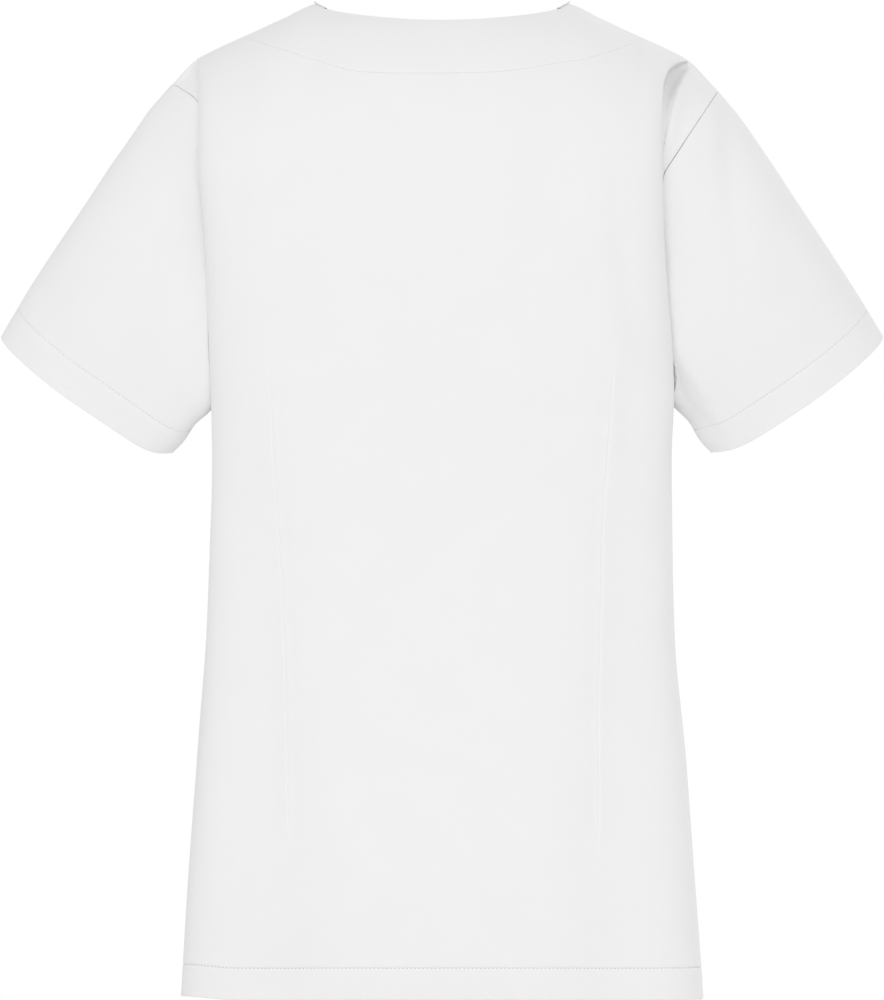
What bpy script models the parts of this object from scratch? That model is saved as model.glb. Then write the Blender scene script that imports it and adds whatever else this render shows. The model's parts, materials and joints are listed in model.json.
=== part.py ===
"""A woman's short-sleeved scrub top in white poly-cotton, hollow, as it hangs on a wearer.

+Z is up, the front faces -Y and the wearer's left is +X. The origin is level with the highest
point of the shoulders, midway between them, where the wearer holds the top up. Sizes are metres.

The cloth is a thin wall. Each cut piece is a loft: rows of points run up the piece, every row has
the same columns, and the wall is the space between that outer skin and the same skin moved in.
"""

import math

import bmesh
import bpy
import numpy as np

# ---------------------------------------------------------------- driving sizes
WALL = 0.0015  # the cloth's wall
HEM_WALL = 0.0024  # where the cloth is turned up and lies double
SEAM_GAP = 0.0004  # between pieces that are sewn together
FACING_WALL = 0.0010
FACING_GAP = 0.0009
FACING_EASE = 0.0005  # the facing is rolled this far down from the neckline, out of sight
CLOTH_COLOUR = (0.87, 0.87, 0.87, 1)  # optic white, as linear values
CLOTH_ROUGHNESS = 0.9

HEM_HEIGHT = -0.7360  # the length from the high point of the shoulder to the hem
UNDERARM_HEIGHT = -0.2500
BACK_YOKE_HEIGHT = -0.1250  # above this the back rolls forward to the shoulder seams
FRONT_YOKE_HEIGHT = -0.1700
NECK_HALF_WIDTH = 0.0850  # at the shoulder seam
V_DEPTH = 0.1500  # the front neckline's point, below the high point of the shoulder
FACING_AT_SHOULDER = 0.1480  # where the facing's outer edge meets the shoulder seam, from the centre

LEFT, RIGHT = 1, -1  # the sign of X on the wearer's left and right


def table(columns, *rows):
    """A short table as {column name: its values down the rows}."""
    return {name: np.array([row[i] for row in rows], float) for i, name in enumerate(columns.split())}


# The trunk below the shoulders, from the hem up. left and right are its outline seen from behind,
# back and front are how far the cloth stands off the shoulder line at the middle, turn is how
# far back the side begins to turn forward, and square is the exponent of the section's curve.
TRUNK = table(
    "height   left    right   back    front   turn   square",
    (-0.7360, 0.1932, 0.1932, 0.1120, 0.1160, 0.040, 2.25),
    (-0.6500, 0.1880, 0.1873, 0.1090, 0.1130, 0.038, 2.28),
    (-0.5600, 0.1813, 0.1806, 0.1010, 0.1070, 0.034, 2.32),
    (-0.4700, 0.1746, 0.1724, 0.0925, 0.1035, 0.032, 2.36),
    (-0.4000, 0.1718, 0.1705, 0.0900, 0.1060, 0.034, 2.40),
    (-0.3300, 0.1700, 0.1700, 0.0950, 0.1150, 0.040, 2.45),
    (-0.2500, 0.1720, 0.1700, 0.1020, 0.1200, 0.046, 2.50),
    (-0.1700, 0.1700, 0.1700, 0.1050, 0.1130, 0.058, 2.50),
    (-0.1250, 0.1700, 0.1700, 0.1020, 0.1000, 0.060, 2.50),
)

# The soft upright fold of the back over each armhole, where its edge hides the sleeve's seam.
BACK_FOLD = table(
    "height   left    right",
    (-0.3300, 0.1700, 0.1700),
    (-0.2900, 0.1709, 0.1715),
    (-0.2500, 0.1724, 0.1702),
    (-0.2150, 0.1735, 0.1672),
    (-0.1750, 0.1754, 0.1648),
    (-0.1450, 0.1780, 0.1643),
    (-0.1250, 0.1800, 0.1648),
)
FRONT_FOLD = table(
    "height   left    right",
    (-0.3300, 0.1700, 0.1700),
    (-0.2900, 0.1700, 0.1700),
    (-0.2500, 0.1695, 0.1695),
    (-0.2100, 0.1670, 0.1670),
    (-0.1700, 0.1650, 0.1650),
)

# The side seam near the underarm and, above it, the armhole's edge: how far out, and how far back
# or forward of the shoulder line. Lower down the side seam lies in the outline.
BACK_EDGE = table(
    "height   left    right   depth",
    (-0.4000, 0.1718, 0.1705, 0.000),
    (-0.3300, 0.1688, 0.1688, 0.000),
    (-0.2900, 0.1660, 0.1660, 0.000),
    (-0.2500, 0.1630, 0.1630, 0.000),
    (-0.2450, 0.1620, 0.1620, 0.010),
    (-0.2320, 0.1600, 0.1600, 0.022),
    (-0.2120, 0.1580, 0.1580, 0.033),
    (-0.1820, 0.1565, 0.1565, 0.042),
    (-0.1500, 0.1575, 0.1590, 0.046),
    (-0.1250, 0.1600, 0.1640, 0.045),
)
FRONT_EDGE = table(
    "height   left    right   depth",
    (-0.4000, 0.1718, 0.1705, 0.000),
    (-0.3300, 0.1688, 0.1688, 0.000),
    (-0.2900, 0.1660, 0.1660, 0.000),
    (-0.2500, 0.1630, 0.1630, 0.000),
    (-0.2450, 0.1620, 0.1620, 0.010),
    (-0.2320, 0.1598, 0.1598, 0.023),
    (-0.2120, 0.1570, 0.1570, 0.036),
    (-0.1900, 0.1550, 0.1550, 0.045),
    (-0.1700, 0.1550, 0.1550, 0.050),
)

# The shoulder seam from the neck to the sleeve: it lies a little behind the ridge at the neck.
SHOULDER = table(
    "out      height   behind",
    (0.0850, -0.0034, 0.0080),
    (0.0940, -0.0040, 0.0060),
    (0.1036, -0.0056, 0.0036),
    (0.1200, -0.0120, 0.0012),
    (0.1350, -0.0190, 0.0),
    (0.1520, -0.0266, 0.0),
    (0.1680, -0.0340, 0.0),
    (0.1820, -0.0414, 0.0),
    (0.1905, -0.0490, 0.0),
    (0.1970, -0.0562, 0.0),
    (0.2050, -0.0650, 0.0),
)
TIP_OUT = {LEFT: 0.1995, RIGHT: 0.2045}  # where the sleeve's seam crosses the shoulder
FOLD_TOP_OUT = {LEFT: 0.1810, RIGHT: 0.1835}  # where the back's fold runs out on the shoulder

FOLD_TUCK = {LEFT: (0.0, 0.0), RIGHT: (0.0050, 0.0030)}  # how deep the cloth dips just past that fold

BACK_NECK = table(
    "out      height   back",
    (0.0, -0.0118, 0.0520),
    (0.0200, -0.0114, 0.0512),
    (0.0360, -0.0104, 0.0485),
    (0.0500, -0.0092, 0.0440),
    (0.0640, -0.0076, 0.0365),
    (0.0760, -0.0057, 0.0250),
    (0.0820, -0.0044, 0.0160),
    (0.0850, -0.0034, 0.0080),
)

# The sleeve, from its seam to its hem: the outline of its top and of its underside seen from
# behind, its half depth from front to back, how far forward it swings, and how square its section
# is. Under the arm the back of each sleeve lies flat against the body, so it is squarer there.
SLEEVE = table(
    "along  top_out top_height under_out under_height half_depth forward square left_under right_under",
    (0.00, 0.1995, -0.0620, 0.1650, -0.2500, 0.0450, 0.000, 1.80, 1.80, 1.80),
    (0.12, 0.2160, -0.0790, 0.1690, -0.2615, 0.0480, 0.001, 1.75, 1.75, 1.75),
    (0.30, 0.2400, -0.1120, 0.1708, -0.2815, 0.0490, 0.004, 1.90, 2.80, 2.60),
    (0.50, 0.2645, -0.1490, 0.1740, -0.3014, 0.0480, 0.009, 2.10, 4.00, 3.00),
    (0.70, 0.2890, -0.1855, 0.1835, -0.3125, 0.0450, 0.016, 2.20, 4.50, 2.30),
    (0.88, 0.3112, -0.2200, 0.1945, -0.3250, 0.0430, 0.023, 2.20, 4.00, 2.00),
    (1.00, 0.3266, -0.2460, 0.2012, -0.3318, 0.0420, 0.028, 2.20, 3.50, 2.00),
)
SLEEVE_SWING = math.radians(15.5)  # the sleeve's hem turns this far forward
SLEEVE_BLEND = 0.25  # by here the tube has left the armhole's shape

# How long each facing is down its panel from the neckline or the shoulder seam.
BACK_FACING = table(
    "out     long",
    (0.0, 0.0532),
    (0.0500, 0.0594),
    (0.0750, 0.0690),
    (0.0850, 0.0800),
    (0.1010, 0.0780),
    (0.1170, 0.0650),
    (0.1330, 0.0440),
    (0.1500, 0.0110),
)
FRONT_FACING = table(
    "out     long",
    (0.0, 0.0600),
    (0.0280, 0.0800),
    (0.0570, 0.0950),
    (0.0850, 0.1000),
    (0.1010, 0.0850),
    (0.1170, 0.0640),
    (0.1330, 0.0380),
    (0.1500, 0.0080),
)

# ---------------------------------------------------------------- how finely the pieces are lofted
NECK_SHARES = (0.0, 0.22, 0.43, 0.62, 0.78, 0.90, 0.96, 0.985, 1.0)  # from the centre to the neck's corner
NECK_COLUMNS = len(NECK_SHARES) - 1
SHOULDER_COLUMNS = 6  # from there to the fold
FOLD_COLUMNS = 4  # round the fold to the edge
TRUNK_HEIGHTS = (HEM_HEIGHT, -0.714, -0.711, -0.67, -0.62, -0.57, -0.52, -0.47, -0.42, -0.38, -0.34, -0.31, -0.28)
BACK_ARMHOLE_HEIGHTS = (UNDERARM_HEIGHT, -0.2475, -0.241, -0.230, -0.214, -0.194, -0.170, -0.147, BACK_YOKE_HEIGHT)
FRONT_ARMHOLE_HEIGHTS = (UNDERARM_HEIGHT, -0.2475, -0.241, -0.230, -0.214, -0.194, FRONT_YOKE_HEIGHT)
YOKE_ROWS = 10
SLEEVE_ROWS = (0.0, 0.06, 0.14, 0.24, 0.36, 0.48, 0.60, 0.72, 0.82, 0.865, 0.885, 0.95, 1.0)


# ---------------------------------------------------------------- curves
def smooth(x, xs, ys):
    """The value at x of a smooth curve through (xs, ys), which never overshoots them."""
    x = np.clip(np.asarray(x, float), xs[0], xs[-1])
    step, rise = np.diff(xs), np.diff(ys)
    slope = rise / step
    tangent = np.concatenate([[slope[0]], np.zeros(len(xs) - 2), [slope[-1]]])
    for i in range(1, len(xs) - 1):
        if slope[i - 1] * slope[i] > 0:
            before, after = 2 * step[i] + step[i - 1], step[i] + 2 * step[i - 1]
            tangent[i] = (before + after) / (before / slope[i - 1] + after / slope[i])
    i = np.clip(np.searchsorted(xs, x, side="right") - 1, 0, len(xs) - 2)
    t = (x - xs[i]) / step[i]
    return (
        ys[i] * (1 + 2 * t) * (1 - t) ** 2
        + tangent[i] * step[i] * t * (1 - t) ** 2
        + ys[i + 1] * t * t * (3 - 2 * t)
        + tangent[i + 1] * step[i] * t * t * (t - 1)
    )


def read(of, column, at, key="height"):
    return smooth(at, of[key], of[column])


def resampled(curve, shares):
    """The points of a polyline at these shares of its length."""
    lengths = np.concatenate([[0], np.cumsum(np.linalg.norm(np.diff(curve, axis=0), axis=1))])
    at = np.asarray(shares) * lengths[-1]
    return np.stack([np.interp(at, lengths, curve[:, k]) for k in range(curve.shape[1])], axis=1)


def bezier(a, b, c, d, count=40):
    t = np.linspace(0, 1, count)[:, None]
    return a * (1 - t) ** 3 + 3 * b * t * (1 - t) ** 2 + 3 * c * t * t * (1 - t) + d * t**3


# ---------------------------------------------------------------- the panels' rows
def column_shares():
    """How the columns of half a panel lie: (shares of the curve from the centre to the fold,
    shares of the curve from the fold to the edge)."""
    neck_share = NECK_HALF_WIDTH / 0.182
    first = neck_share * np.array(NECK_SHARES)
    second = np.linspace(neck_share, 1, SHOULDER_COLUMNS + 1)[1:]
    return np.concatenate([first, second]), np.linspace(0, 1, FOLD_COLUMNS + 1)[1:]


def half_section(height, side, depth_column, fold, edge, facing):
    """Half a level row of a panel, from its centre to its side seam or armhole.
    facing is 1 for the back and -1 for the front."""
    name = "left" if side == LEFT else "right"
    depth, square = read(TRUNK, depth_column, height), read(TRUNK, "square", height)
    turn = read(TRUNK, "turn", height)
    fold_out = read(TRUNK, name, height)
    if height > fold["height"][0]:
        fold_out = read(fold, name, height)
    corner = np.array([fold_out, turn])
    end = np.array([fold_out, 0.0])
    if height > edge["height"][0]:
        end = np.array([read(edge, name, height), read(edge, "depth", height)])
    angle = np.linspace(0, math.pi / 2, 80)
    body = np.stack(
        [
            fold_out * np.sin(angle) ** (2 / square),
            turn + (depth - turn) * np.cos(angle) ** (2 / square),
        ],
        axis=1,
    )
    pull = 0.55 * (corner[1] - end[1])
    wrap = bezier(corner, corner - [0, pull], end + [0, pull], end)
    to_fold, to_edge = column_shares()
    flat = np.concatenate([resampled(body, to_fold), resampled(wrap, to_edge)])
    return np.stack([side * flat[:, 0], facing * flat[:, 1], np.full(len(flat), height)], axis=1)


def neck_and_shoulder(side, neck):
    """Half the top edge of a panel, out from the centre along the neckline and the shoulder."""
    to_fold, to_edge = column_shares()
    share = to_fold[NECK_COLUMNS:]
    share = (share - share[0]) / (1 - share[0])
    seam_out = np.concatenate(
        [
            NECK_HALF_WIDTH + (FOLD_TOP_OUT[side] - NECK_HALF_WIDTH) * share,
            FOLD_TOP_OUT[side] + (TIP_OUT[side] - FOLD_TOP_OUT[side]) * to_edge,
        ]
    )
    seam = np.stack(
        [
            side * seam_out,
            read(SHOULDER, "behind", seam_out, "out"),
            read(SHOULDER, "height", seam_out, "out"),
        ],
        axis=1,
    )
    return np.concatenate([neck[:-1], seam])


def back_neck(side):
    out = np.linspace(0, NECK_HALF_WIDTH, 60)
    curve = np.stack([out, read(BACK_NECK, "back", out, "out"), read(BACK_NECK, "height", out, "out")], axis=1)
    return resampled(curve, NECK_SHARES) * [side, 1, 1]


def rolled(below, above, share, bend, early):
    """The points a share of the way from the row below up to the edge above, on a roll of a
    quarter turn or so. bend is each column's turn in radians, and early is 1 where a column moves
    sideways as it climbs and 0 where it moves sideways last."""
    turned = share * bend
    climb = np.sin(turned) / np.sin(bend)
    forward = (1 - np.cos(turned)) / (1 - np.cos(bend))
    sideways = early * climb + (1 - early) * (1 - np.cos(share * math.pi / 2)) ** 1.3
    return below + (above - below) * np.stack([sideways, forward, climb], axis=1)


def half_back(side, cut):
    """Rows of half the back, from the hem to the neckline and shoulder seam, and how much of the
    yoke each column keeps."""
    heights = TRUNK_HEIGHTS + BACK_ARMHOLE_HEIGHTS
    rows = [half_section(h, side, "back", BACK_FOLD, BACK_EDGE, 1) for h in heights]
    top = neck_and_shoulder(side, back_neck(side))
    bend = np.full(len(top), math.radians(90))
    bend[: NECK_COLUMNS + 1] = np.radians(58 + 28 * np.array(NECK_SHARES))
    early, tuck = np.zeros(len(top)), np.zeros(len(top))
    tuck[-FOLD_COLUMNS : -FOLD_COLUMNS + 2] = FOLD_TUCK[side]
    if side == RIGHT:
        early[-FOLD_COLUMNS:] = np.linspace(0, 1, FOLD_COLUMNS + 1)[1:]
    for share in np.linspace(0, 1, YOKE_ROWS + 1)[1:]:
        row = rolled(rows[len(heights) - 1], top, share, bend, early)
        row[:, 1] -= tuck * math.sin(math.pi * share)
        rows.append(row)
    return rows, np.ones(len(top))


def half_front(side, cut):
    """The same for half the front. cut takes the V out of a front that would reach up to the neck."""
    heights = TRUNK_HEIGHTS + FRONT_ARMHOLE_HEIGHTS
    rows = [half_section(h, side, "front", FRONT_FOLD, FRONT_EDGE, -1) for h in heights]
    below = rows[-1]
    neck = slice(0, NECK_COLUMNS + 1)
    angle = np.array(NECK_SHARES) * math.pi / 2
    high_neck = np.stack(
        [
            below[neck, 0] * NECK_HALF_WIDTH / abs(below[NECK_COLUMNS, 0]),
            SHOULDER["behind"][0] - 0.062 * np.cos(angle),
            SHOULDER["height"][0] - 0.004 * np.cos(angle),
        ],
        axis=1,
    )
    top = neck_and_shoulder(side, high_neck)
    bend = np.full(len(top), math.radians(90))
    bend[neck] = np.radians(70 + 32 * np.array(NECK_SHARES))
    bend[NECK_COLUMNS + 1 : NECK_COLUMNS + 3] = np.radians([98, 92])
    early = np.zeros(len(top))
    out = np.abs(top[neck, 0]) / NECK_HALF_WIDTH
    climb = (-V_DEPTH * (1 - out**1.15) - below[neck, 2]) / (top[neck, 2] - below[neck, 2])
    stop = np.ones(len(top))
    if cut:
        stop[:NECK_COLUMNS] = (np.arcsin((climb * np.sin(bend[neck]))[:-1]) / bend[neck][:-1])
    yoke = [rolled(below, top, share * stop, bend, early) for share in np.linspace(0, 1, YOKE_ROWS + 1)[1:]]
    return rows + yoke, stop


def whole(half, cut):
    """Both halves of a panel as one grid of points, its columns running from right to left."""
    (right, right_stop), (left, left_stop) = half(RIGHT, cut), half(LEFT, cut)
    grid = np.array([np.concatenate([r[:0:-1], l]) for r, l in zip(right, left)])
    return grid, np.concatenate([right_stop[:0:-1], left_stop])


# ---------------------------------------------------------------- walls
def cloth(name):
    """White poly-cotton twill, matt, as this piece's own material."""
    material = bpy.data.materials.new(name + " white twill")
    material.use_nodes = True
    surface = material.node_tree.nodes["Principled BSDF"]
    surface.inputs["Base Color"].default_value = CLOTH_COLOUR
    surface.inputs["Roughness"].default_value = CLOTH_ROUGHNESS
    surface.inputs["Metallic"].default_value = 0.0
    return material


def normals(grid, around=False):
    """The unit normal at each point of a grid, towards +Y for a grid whose rows run to +X and climb."""
    if around:
        along = np.roll(grid, -1, axis=1) - np.roll(grid, 1, axis=1)
    else:
        along = np.gradient(grid, axis=1)
    found = np.cross(np.gradient(grid, axis=0), along)
    return found / np.linalg.norm(found, axis=2, keepdims=True)


def evened(grid, out, reach=0.006):
    """Normals averaged along each row over a few millimetres, so that a thick wall doesn't fold
    through itself where columns stand close together."""
    apart = np.linalg.norm(grid[:, :, None] - grid[:, None], axis=3)
    found = np.einsum("rij,rjk->rik", np.exp(-((apart / reach) ** 2)), out)
    return found / np.linalg.norm(found, axis=2, keepdims=True)


def quads(rows, columns, first, around, turned):
    faces = []
    for r in range(rows - 1):
        for c in range(columns if around else columns - 1):
            a, b = first + r * columns + c, first + r * columns + (c + 1) % columns
            face = (a, b, b + columns, a + columns)
            faces.append(face[::-1] if turned else face)
    return faces


def wall(name, outer, inner, around=False):
    """A closed solid between two grids of points."""
    rows, columns = outer.shape[:2]
    count = rows * columns
    points = np.concatenate([outer.reshape(-1, 3), inner.reshape(-1, 3)])
    faces = quads(rows, columns, 0, around, False) + quads(rows, columns, count, around, True)
    index = np.arange(count).reshape(rows, columns)
    if around:
        rims = [np.append(index[0], index[0, 0])[::-1], np.append(index[-1], index[-1, 0])]
    else:
        rims = [np.concatenate([index[0, ::-1], index[1:, 0], index[-1, 1:], index[-2::-1, -1]])]
    for rim in rims:
        faces += [(int(a), int(b), int(b) + count, int(a) + count) for a, b in zip(rim[:-1], rim[1:])]
    mesh = bpy.data.meshes.new(name)
    mesh.from_pydata(points.tolist(), [], faces)
    build = bmesh.new()
    build.from_mesh(mesh)
    bmesh.ops.triangulate(build, faces=build.faces[:], quad_method="SHORT_EDGE")
    bmesh.ops.recalc_face_normals(build, faces=build.faces[:])
    if build.calc_volume(signed=True) < 0:
        bmesh.ops.reverse_faces(build, faces=build.faces[:])
    build.to_mesh(mesh)
    build.free()
    mesh.materials.append(cloth(name))
    garment.objects.link(bpy.data.objects.new(name, mesh))


def thickness(rows, hem_rows, wide=WALL, at_hem=HEM_WALL):
    """The wall down the rows of a piece that starts at its hem."""
    found = np.full(rows, wide)
    found[:hem_rows] = at_hem
    return found[:, None, None]


def panel_skin(half, facing):
    """A body panel's points and normals. facing is 1 for the back and -1 for the front."""
    grid, stop = whole(half, cut=True)
    full = whole(half, cut=False)[0]
    uncut = evened(full, normals(full) * facing)
    out = uncut.copy()
    base = len(grid) - 1 - YOKE_ROWS
    for c, share in enumerate(stop):
        at = base + share * np.arange(YOKE_ROWS + 1)
        for k in range(3):
            out[base:, c, k] = np.interp(at, np.arange(len(grid)), uncut[:, c, k])
    below_arm = grid[:, 0, 2] <= UNDERARM_HEIGHT + 1e-6
    grid[below_arm, 0, 1] += facing * SEAM_GAP / 2
    grid[below_arm, -1, 1] += facing * SEAM_GAP / 2
    shoulder = np.abs(grid[-1, :, 0]) > NECK_HALF_WIDTH - 1e-6
    grid[-1, shoulder, 1] += facing * SEAM_GAP / 2
    return grid, out


def neck_facing(name, grid, out, lengths, rows):
    """A facing inside a panel: the ends of its columns, moved in."""
    middle = grid.shape[1] // 2
    reach = int(np.sum(np.abs(grid[-1, middle:, 0]) < FACING_AT_SHOULDER + 0.002)) - 1
    strips = []
    for c in range(middle - reach, middle + reach + 1):
        down, normal = grid[::-1, c], out[::-1, c]
        at = np.concatenate([[0], np.cumsum(np.linalg.norm(np.diff(down, axis=0), axis=1))])
        long = smooth(abs(grid[-1, c, 0]), lengths["out"], lengths["long"])
        want = np.linspace(long, FACING_EASE, rows)
        both = np.concatenate([down, normal], axis=1)
        strips.append(np.stack([np.interp(want, at, both[:, k]) for k in range(6)], axis=1))
    strips = np.array(strips).transpose(1, 0, 2)
    points, normal = strips[..., :3], strips[..., 3:]
    outer = points - normal * (WALL + FACING_GAP)
    wall(name, outer, outer - normal * FACING_WALL)


# ---------------------------------------------------------------- the sleeve
def sleeve_ring(side, along, angle):
    """A ring of the sleeve. angle is 0 at the top and runs down the back to pi at the underside."""
    top = np.array([read(SLEEVE, "top_out", along, "along"), read(SLEEVE, "top_height", along, "along")])
    low = np.array([read(SLEEVE, "under_out", along, "along"), read(SLEEVE, "under_height", along, "along")])
    middle, reach = (top + low) / 2, (top - low) / 2
    swing = SLEEVE_SWING * along
    down = np.array([reach[1], -reach[0]]) / np.linalg.norm(reach)
    square = read(SLEEVE, "square", along, "along")
    under = read(SLEEVE, "left_under" if side == LEFT else "right_under", along, "along")
    power = 2 / np.where((np.cos(angle) < 0) & (np.sin(angle) > 0), under, square)
    across = np.sign(np.cos(angle)) * np.abs(np.cos(angle)) ** power
    deep = np.sign(np.sin(angle)) * np.abs(np.sin(angle)) ** power
    half_depth = read(SLEEVE, "half_depth", along, "along")
    forward = read(SLEEVE, "forward", along, "along")
    out = middle[0] + reach[0] * across + half_depth * math.sin(swing) * deep * down[0]
    height = middle[1] + reach[1] * across + half_depth * math.sin(swing) * deep * down[1]
    back = half_depth * math.cos(swing) * deep - forward
    return np.stack([side * out, back, height], axis=1)


def sleeve_skin(side, back, front):
    """The sleeve's points and normals, hem first, its last ring sewn to the panels' armhole edges.
    It also evens out the normals of both sides of that seam, so that their walls are mitred."""
    column = -1 if side == LEFT else 0
    first_row = [int(np.argmax(grid[:, column, 2] > UNDERARM_HEIGHT - 1e-6)) for grid, _ in (back, front)]
    last_row = [len(grid) - 1 for grid, _ in (back, front)]
    down_back = [(0, row) for row in range(last_row[0] - 1, first_row[0], -1)]
    up_front = [(1, row) for row in range(first_row[1] + 1, last_row[1])]
    seam = [[(0, last_row[0]), (1, last_row[1])]]
    seam += [[place] for place in down_back]
    seam += [[(0, first_row[0]), (1, first_row[1])]]
    seam += [[place] for place in up_front]
    skins = (back, front)
    armhole = np.array([np.mean([skins[k][0][row, column] for k, row in places], axis=0) for places in seam])
    under = len(down_back) + 1
    loop = np.concatenate([armhole, armhole[:1]])
    steps = np.linalg.norm(np.diff(loop, axis=0), axis=1)
    down, up = np.cumsum(steps[:under]), np.cumsum(steps[under:])
    angle = np.concatenate([[0], down[:-1] / down[-1] * math.pi, [math.pi], math.pi + up[:-1] / up[-1] * math.pi])
    first = sleeve_ring(side, 0.0, angle)
    rings = []
    for along in SLEEVE_ROWS[::-1]:
        keep = max(0.0, 1 - along / SLEEVE_BLEND) ** 2
        rings.append(sleeve_ring(side, along, angle) + (armhole - first) * keep)
    rings = np.array(rings)
    start = rings[-2] - rings[-1]
    rings[-1] += start / np.linalg.norm(start, axis=1, keepdims=True) * SEAM_GAP
    out = normals(rings, around=True)
    if np.sum(out * (rings - rings.mean(axis=1, keepdims=True))) < 0:
        out = -out
    for i, places in enumerate(seam):
        met = np.sum([skins[k][1][row, column] for k, row in places], axis=0)
        met = met / np.linalg.norm(met)
        if met @ out[-1, i] > 0.3:
            shared = met + out[-1, i]
            shared /= np.linalg.norm(shared)
            out[-1, i] = shared
            for k, row in places:
                skins[k][1][row, column] = shared
    return rings, out


def share_normals(back, front):
    """One normal for both panels all along the shoulder and side seams, so that they meet squarely."""
    (grid, back_out), (_, front_out) = back, front
    shoulder = np.abs(grid[-1, :, 0]) > NECK_HALF_WIDTH - 1e-6
    below_arm = grid[:, 0, 2] <= UNDERARM_HEIGHT + 1e-6
    seams = [((-1, shoulder), (-1, shoulder))]
    seams += [((slice(0, below_arm.sum()), column),) * 2 for column in (0, -1)]
    for at_back, at_front in seams:
        met = back_out[at_back] + front_out[at_front]
        met[:, 1] = 0
        met /= np.linalg.norm(met, axis=1, keepdims=True)
        back_out[at_back] = front_out[at_front] = met


def piece(name, skin, around=False):
    grid, out = skin
    wall(name, grid, grid - out * thickness(len(grid), 2), around)


# ---------------------------------------------------------------- the top
for obj in list(bpy.data.objects):
    bpy.data.objects.remove(obj)
garment = bpy.data.collections.new("scrub top")
bpy.context.scene.collection.children.link(garment)

back = panel_skin(half_back, 1)
front = panel_skin(half_front, -1)
share_normals(back, front)
left = sleeve_skin(LEFT, back, front)
right = sleeve_skin(RIGHT, back, front)
piece("back_panel", back)
piece("front_panel", front)
piece("sleeve_left", left, around=True)
piece("sleeve_right", right, around=True)
neck_facing("back_neck_facing", *back, BACK_FACING, 9)
neck_facing("front_neck_facing", *front, FRONT_FACING, 13)
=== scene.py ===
# %% [markdown]
# # A white scrub top, seen from behind
#
# The real one is a woman's short-sleeved work top, cut from white poly-cotton twill: a back with
# two long darts, a front with a V neck, two sleeves, and a facing inside the neckline. It hangs
# filled out, as on a wearer, and it is hollow. The frame holds the same top as plain solids. Here
# each solid gets a thin cloth in its place, with its turned hems, seams, stitches and creases.

import json
import math

import bmesh
import bpy
import numpy as np
from mathutils import Matrix, Vector

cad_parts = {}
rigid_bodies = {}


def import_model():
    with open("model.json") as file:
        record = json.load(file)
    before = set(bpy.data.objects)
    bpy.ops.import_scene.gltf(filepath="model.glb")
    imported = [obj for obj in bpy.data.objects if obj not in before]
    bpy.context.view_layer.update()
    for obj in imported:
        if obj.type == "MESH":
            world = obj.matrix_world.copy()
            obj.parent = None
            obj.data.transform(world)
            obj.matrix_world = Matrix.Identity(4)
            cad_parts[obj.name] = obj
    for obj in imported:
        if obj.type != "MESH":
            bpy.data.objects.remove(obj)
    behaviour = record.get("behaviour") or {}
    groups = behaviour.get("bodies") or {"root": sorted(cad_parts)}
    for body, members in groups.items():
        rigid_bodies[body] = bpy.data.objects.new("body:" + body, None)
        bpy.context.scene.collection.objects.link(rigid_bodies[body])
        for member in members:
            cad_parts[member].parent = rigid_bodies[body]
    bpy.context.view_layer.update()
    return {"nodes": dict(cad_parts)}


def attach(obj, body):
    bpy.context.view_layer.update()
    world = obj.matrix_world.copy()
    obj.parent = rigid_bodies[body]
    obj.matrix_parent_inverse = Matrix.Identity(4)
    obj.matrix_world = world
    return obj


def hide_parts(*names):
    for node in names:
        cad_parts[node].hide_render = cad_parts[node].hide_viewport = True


bpy.ops.object.select_all(action="SELECT")
bpy.ops.object.delete()
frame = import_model()
print("nodes:", sorted(frame["nodes"]))

# %% [markdown]
# ## Small tools for curves
#
# A pattern cutter works from a few measures and draws smooth curves through them. table() keeps
# such measures in named columns and smooth() draws the curve. It is a monotone cubic, so it never
# swings past a measure, as a plain spline would. bump(), ramp() and plateau() are the soft shapes
# that every crease below is made of.

# %% Curves
LEFT, RIGHT = 1, -1  # the sign of X on the wearer's left and right
SIDE_NAME = {LEFT: "left", RIGHT: "right"}
MM = 0.001


def table(columns, *rows):
    """A short table as {column name: its values down the rows}."""
    return {name: np.array([row[i] for row in rows], float) for i, name in enumerate(columns.split())}


def smooth(x, xs, ys):
    """The value at x of a smooth curve through (xs, ys)."""
    x = np.clip(np.asarray(x, float), xs[0], xs[-1])
    step, rise = np.diff(xs), np.diff(ys)
    slope = rise / step
    tangent = np.concatenate([[slope[0]], np.zeros(len(xs) - 2), [slope[-1]]])
    for i in range(1, len(xs) - 1):
        if slope[i - 1] * slope[i] > 0:
            before, after = 2 * step[i] + step[i - 1], step[i] + 2 * step[i - 1]
            tangent[i] = (before + after) / (before / slope[i - 1] + after / slope[i])
    i = np.clip(np.searchsorted(xs, x, side="right") - 1, 0, len(xs) - 2)
    t = (x - xs[i]) / step[i]
    return (
        ys[i] * (1 + 2 * t) * (1 - t) ** 2
        + tangent[i] * step[i] * t * (1 - t) ** 2
        + ys[i + 1] * t * t * (3 - 2 * t)
        + tangent[i + 1] * step[i] * t * t * (t - 1)
    )


def read(of, column, at, key="height"):
    return smooth(at, of[key], of[column])


def along(curve):
    """How far each point of a polyline is from its start."""
    return np.concatenate([[0], np.cumsum(np.linalg.norm(np.diff(curve, axis=0), axis=1))])


def read_along(at, length, values):
    """Rows of values that belong to these lengths, read at others."""
    return np.stack([np.interp(at, length, values[:, k]) for k in range(values.shape[1])], axis=1)


def places(curve, at):
    """The points of a polyline at these distances from its start."""
    return read_along(at, along(curve), curve)


def unit(vectors):
    return vectors / np.linalg.norm(vectors, axis=-1, keepdims=True)


def bezier(a, b, c, d, count=120):
    t = np.linspace(0, 1, count)[:, None]
    return a * (1 - t) ** 3 + 3 * b * t * (1 - t) ** 2 + 3 * c * t * t * (1 - t) + d * t**3


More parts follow.
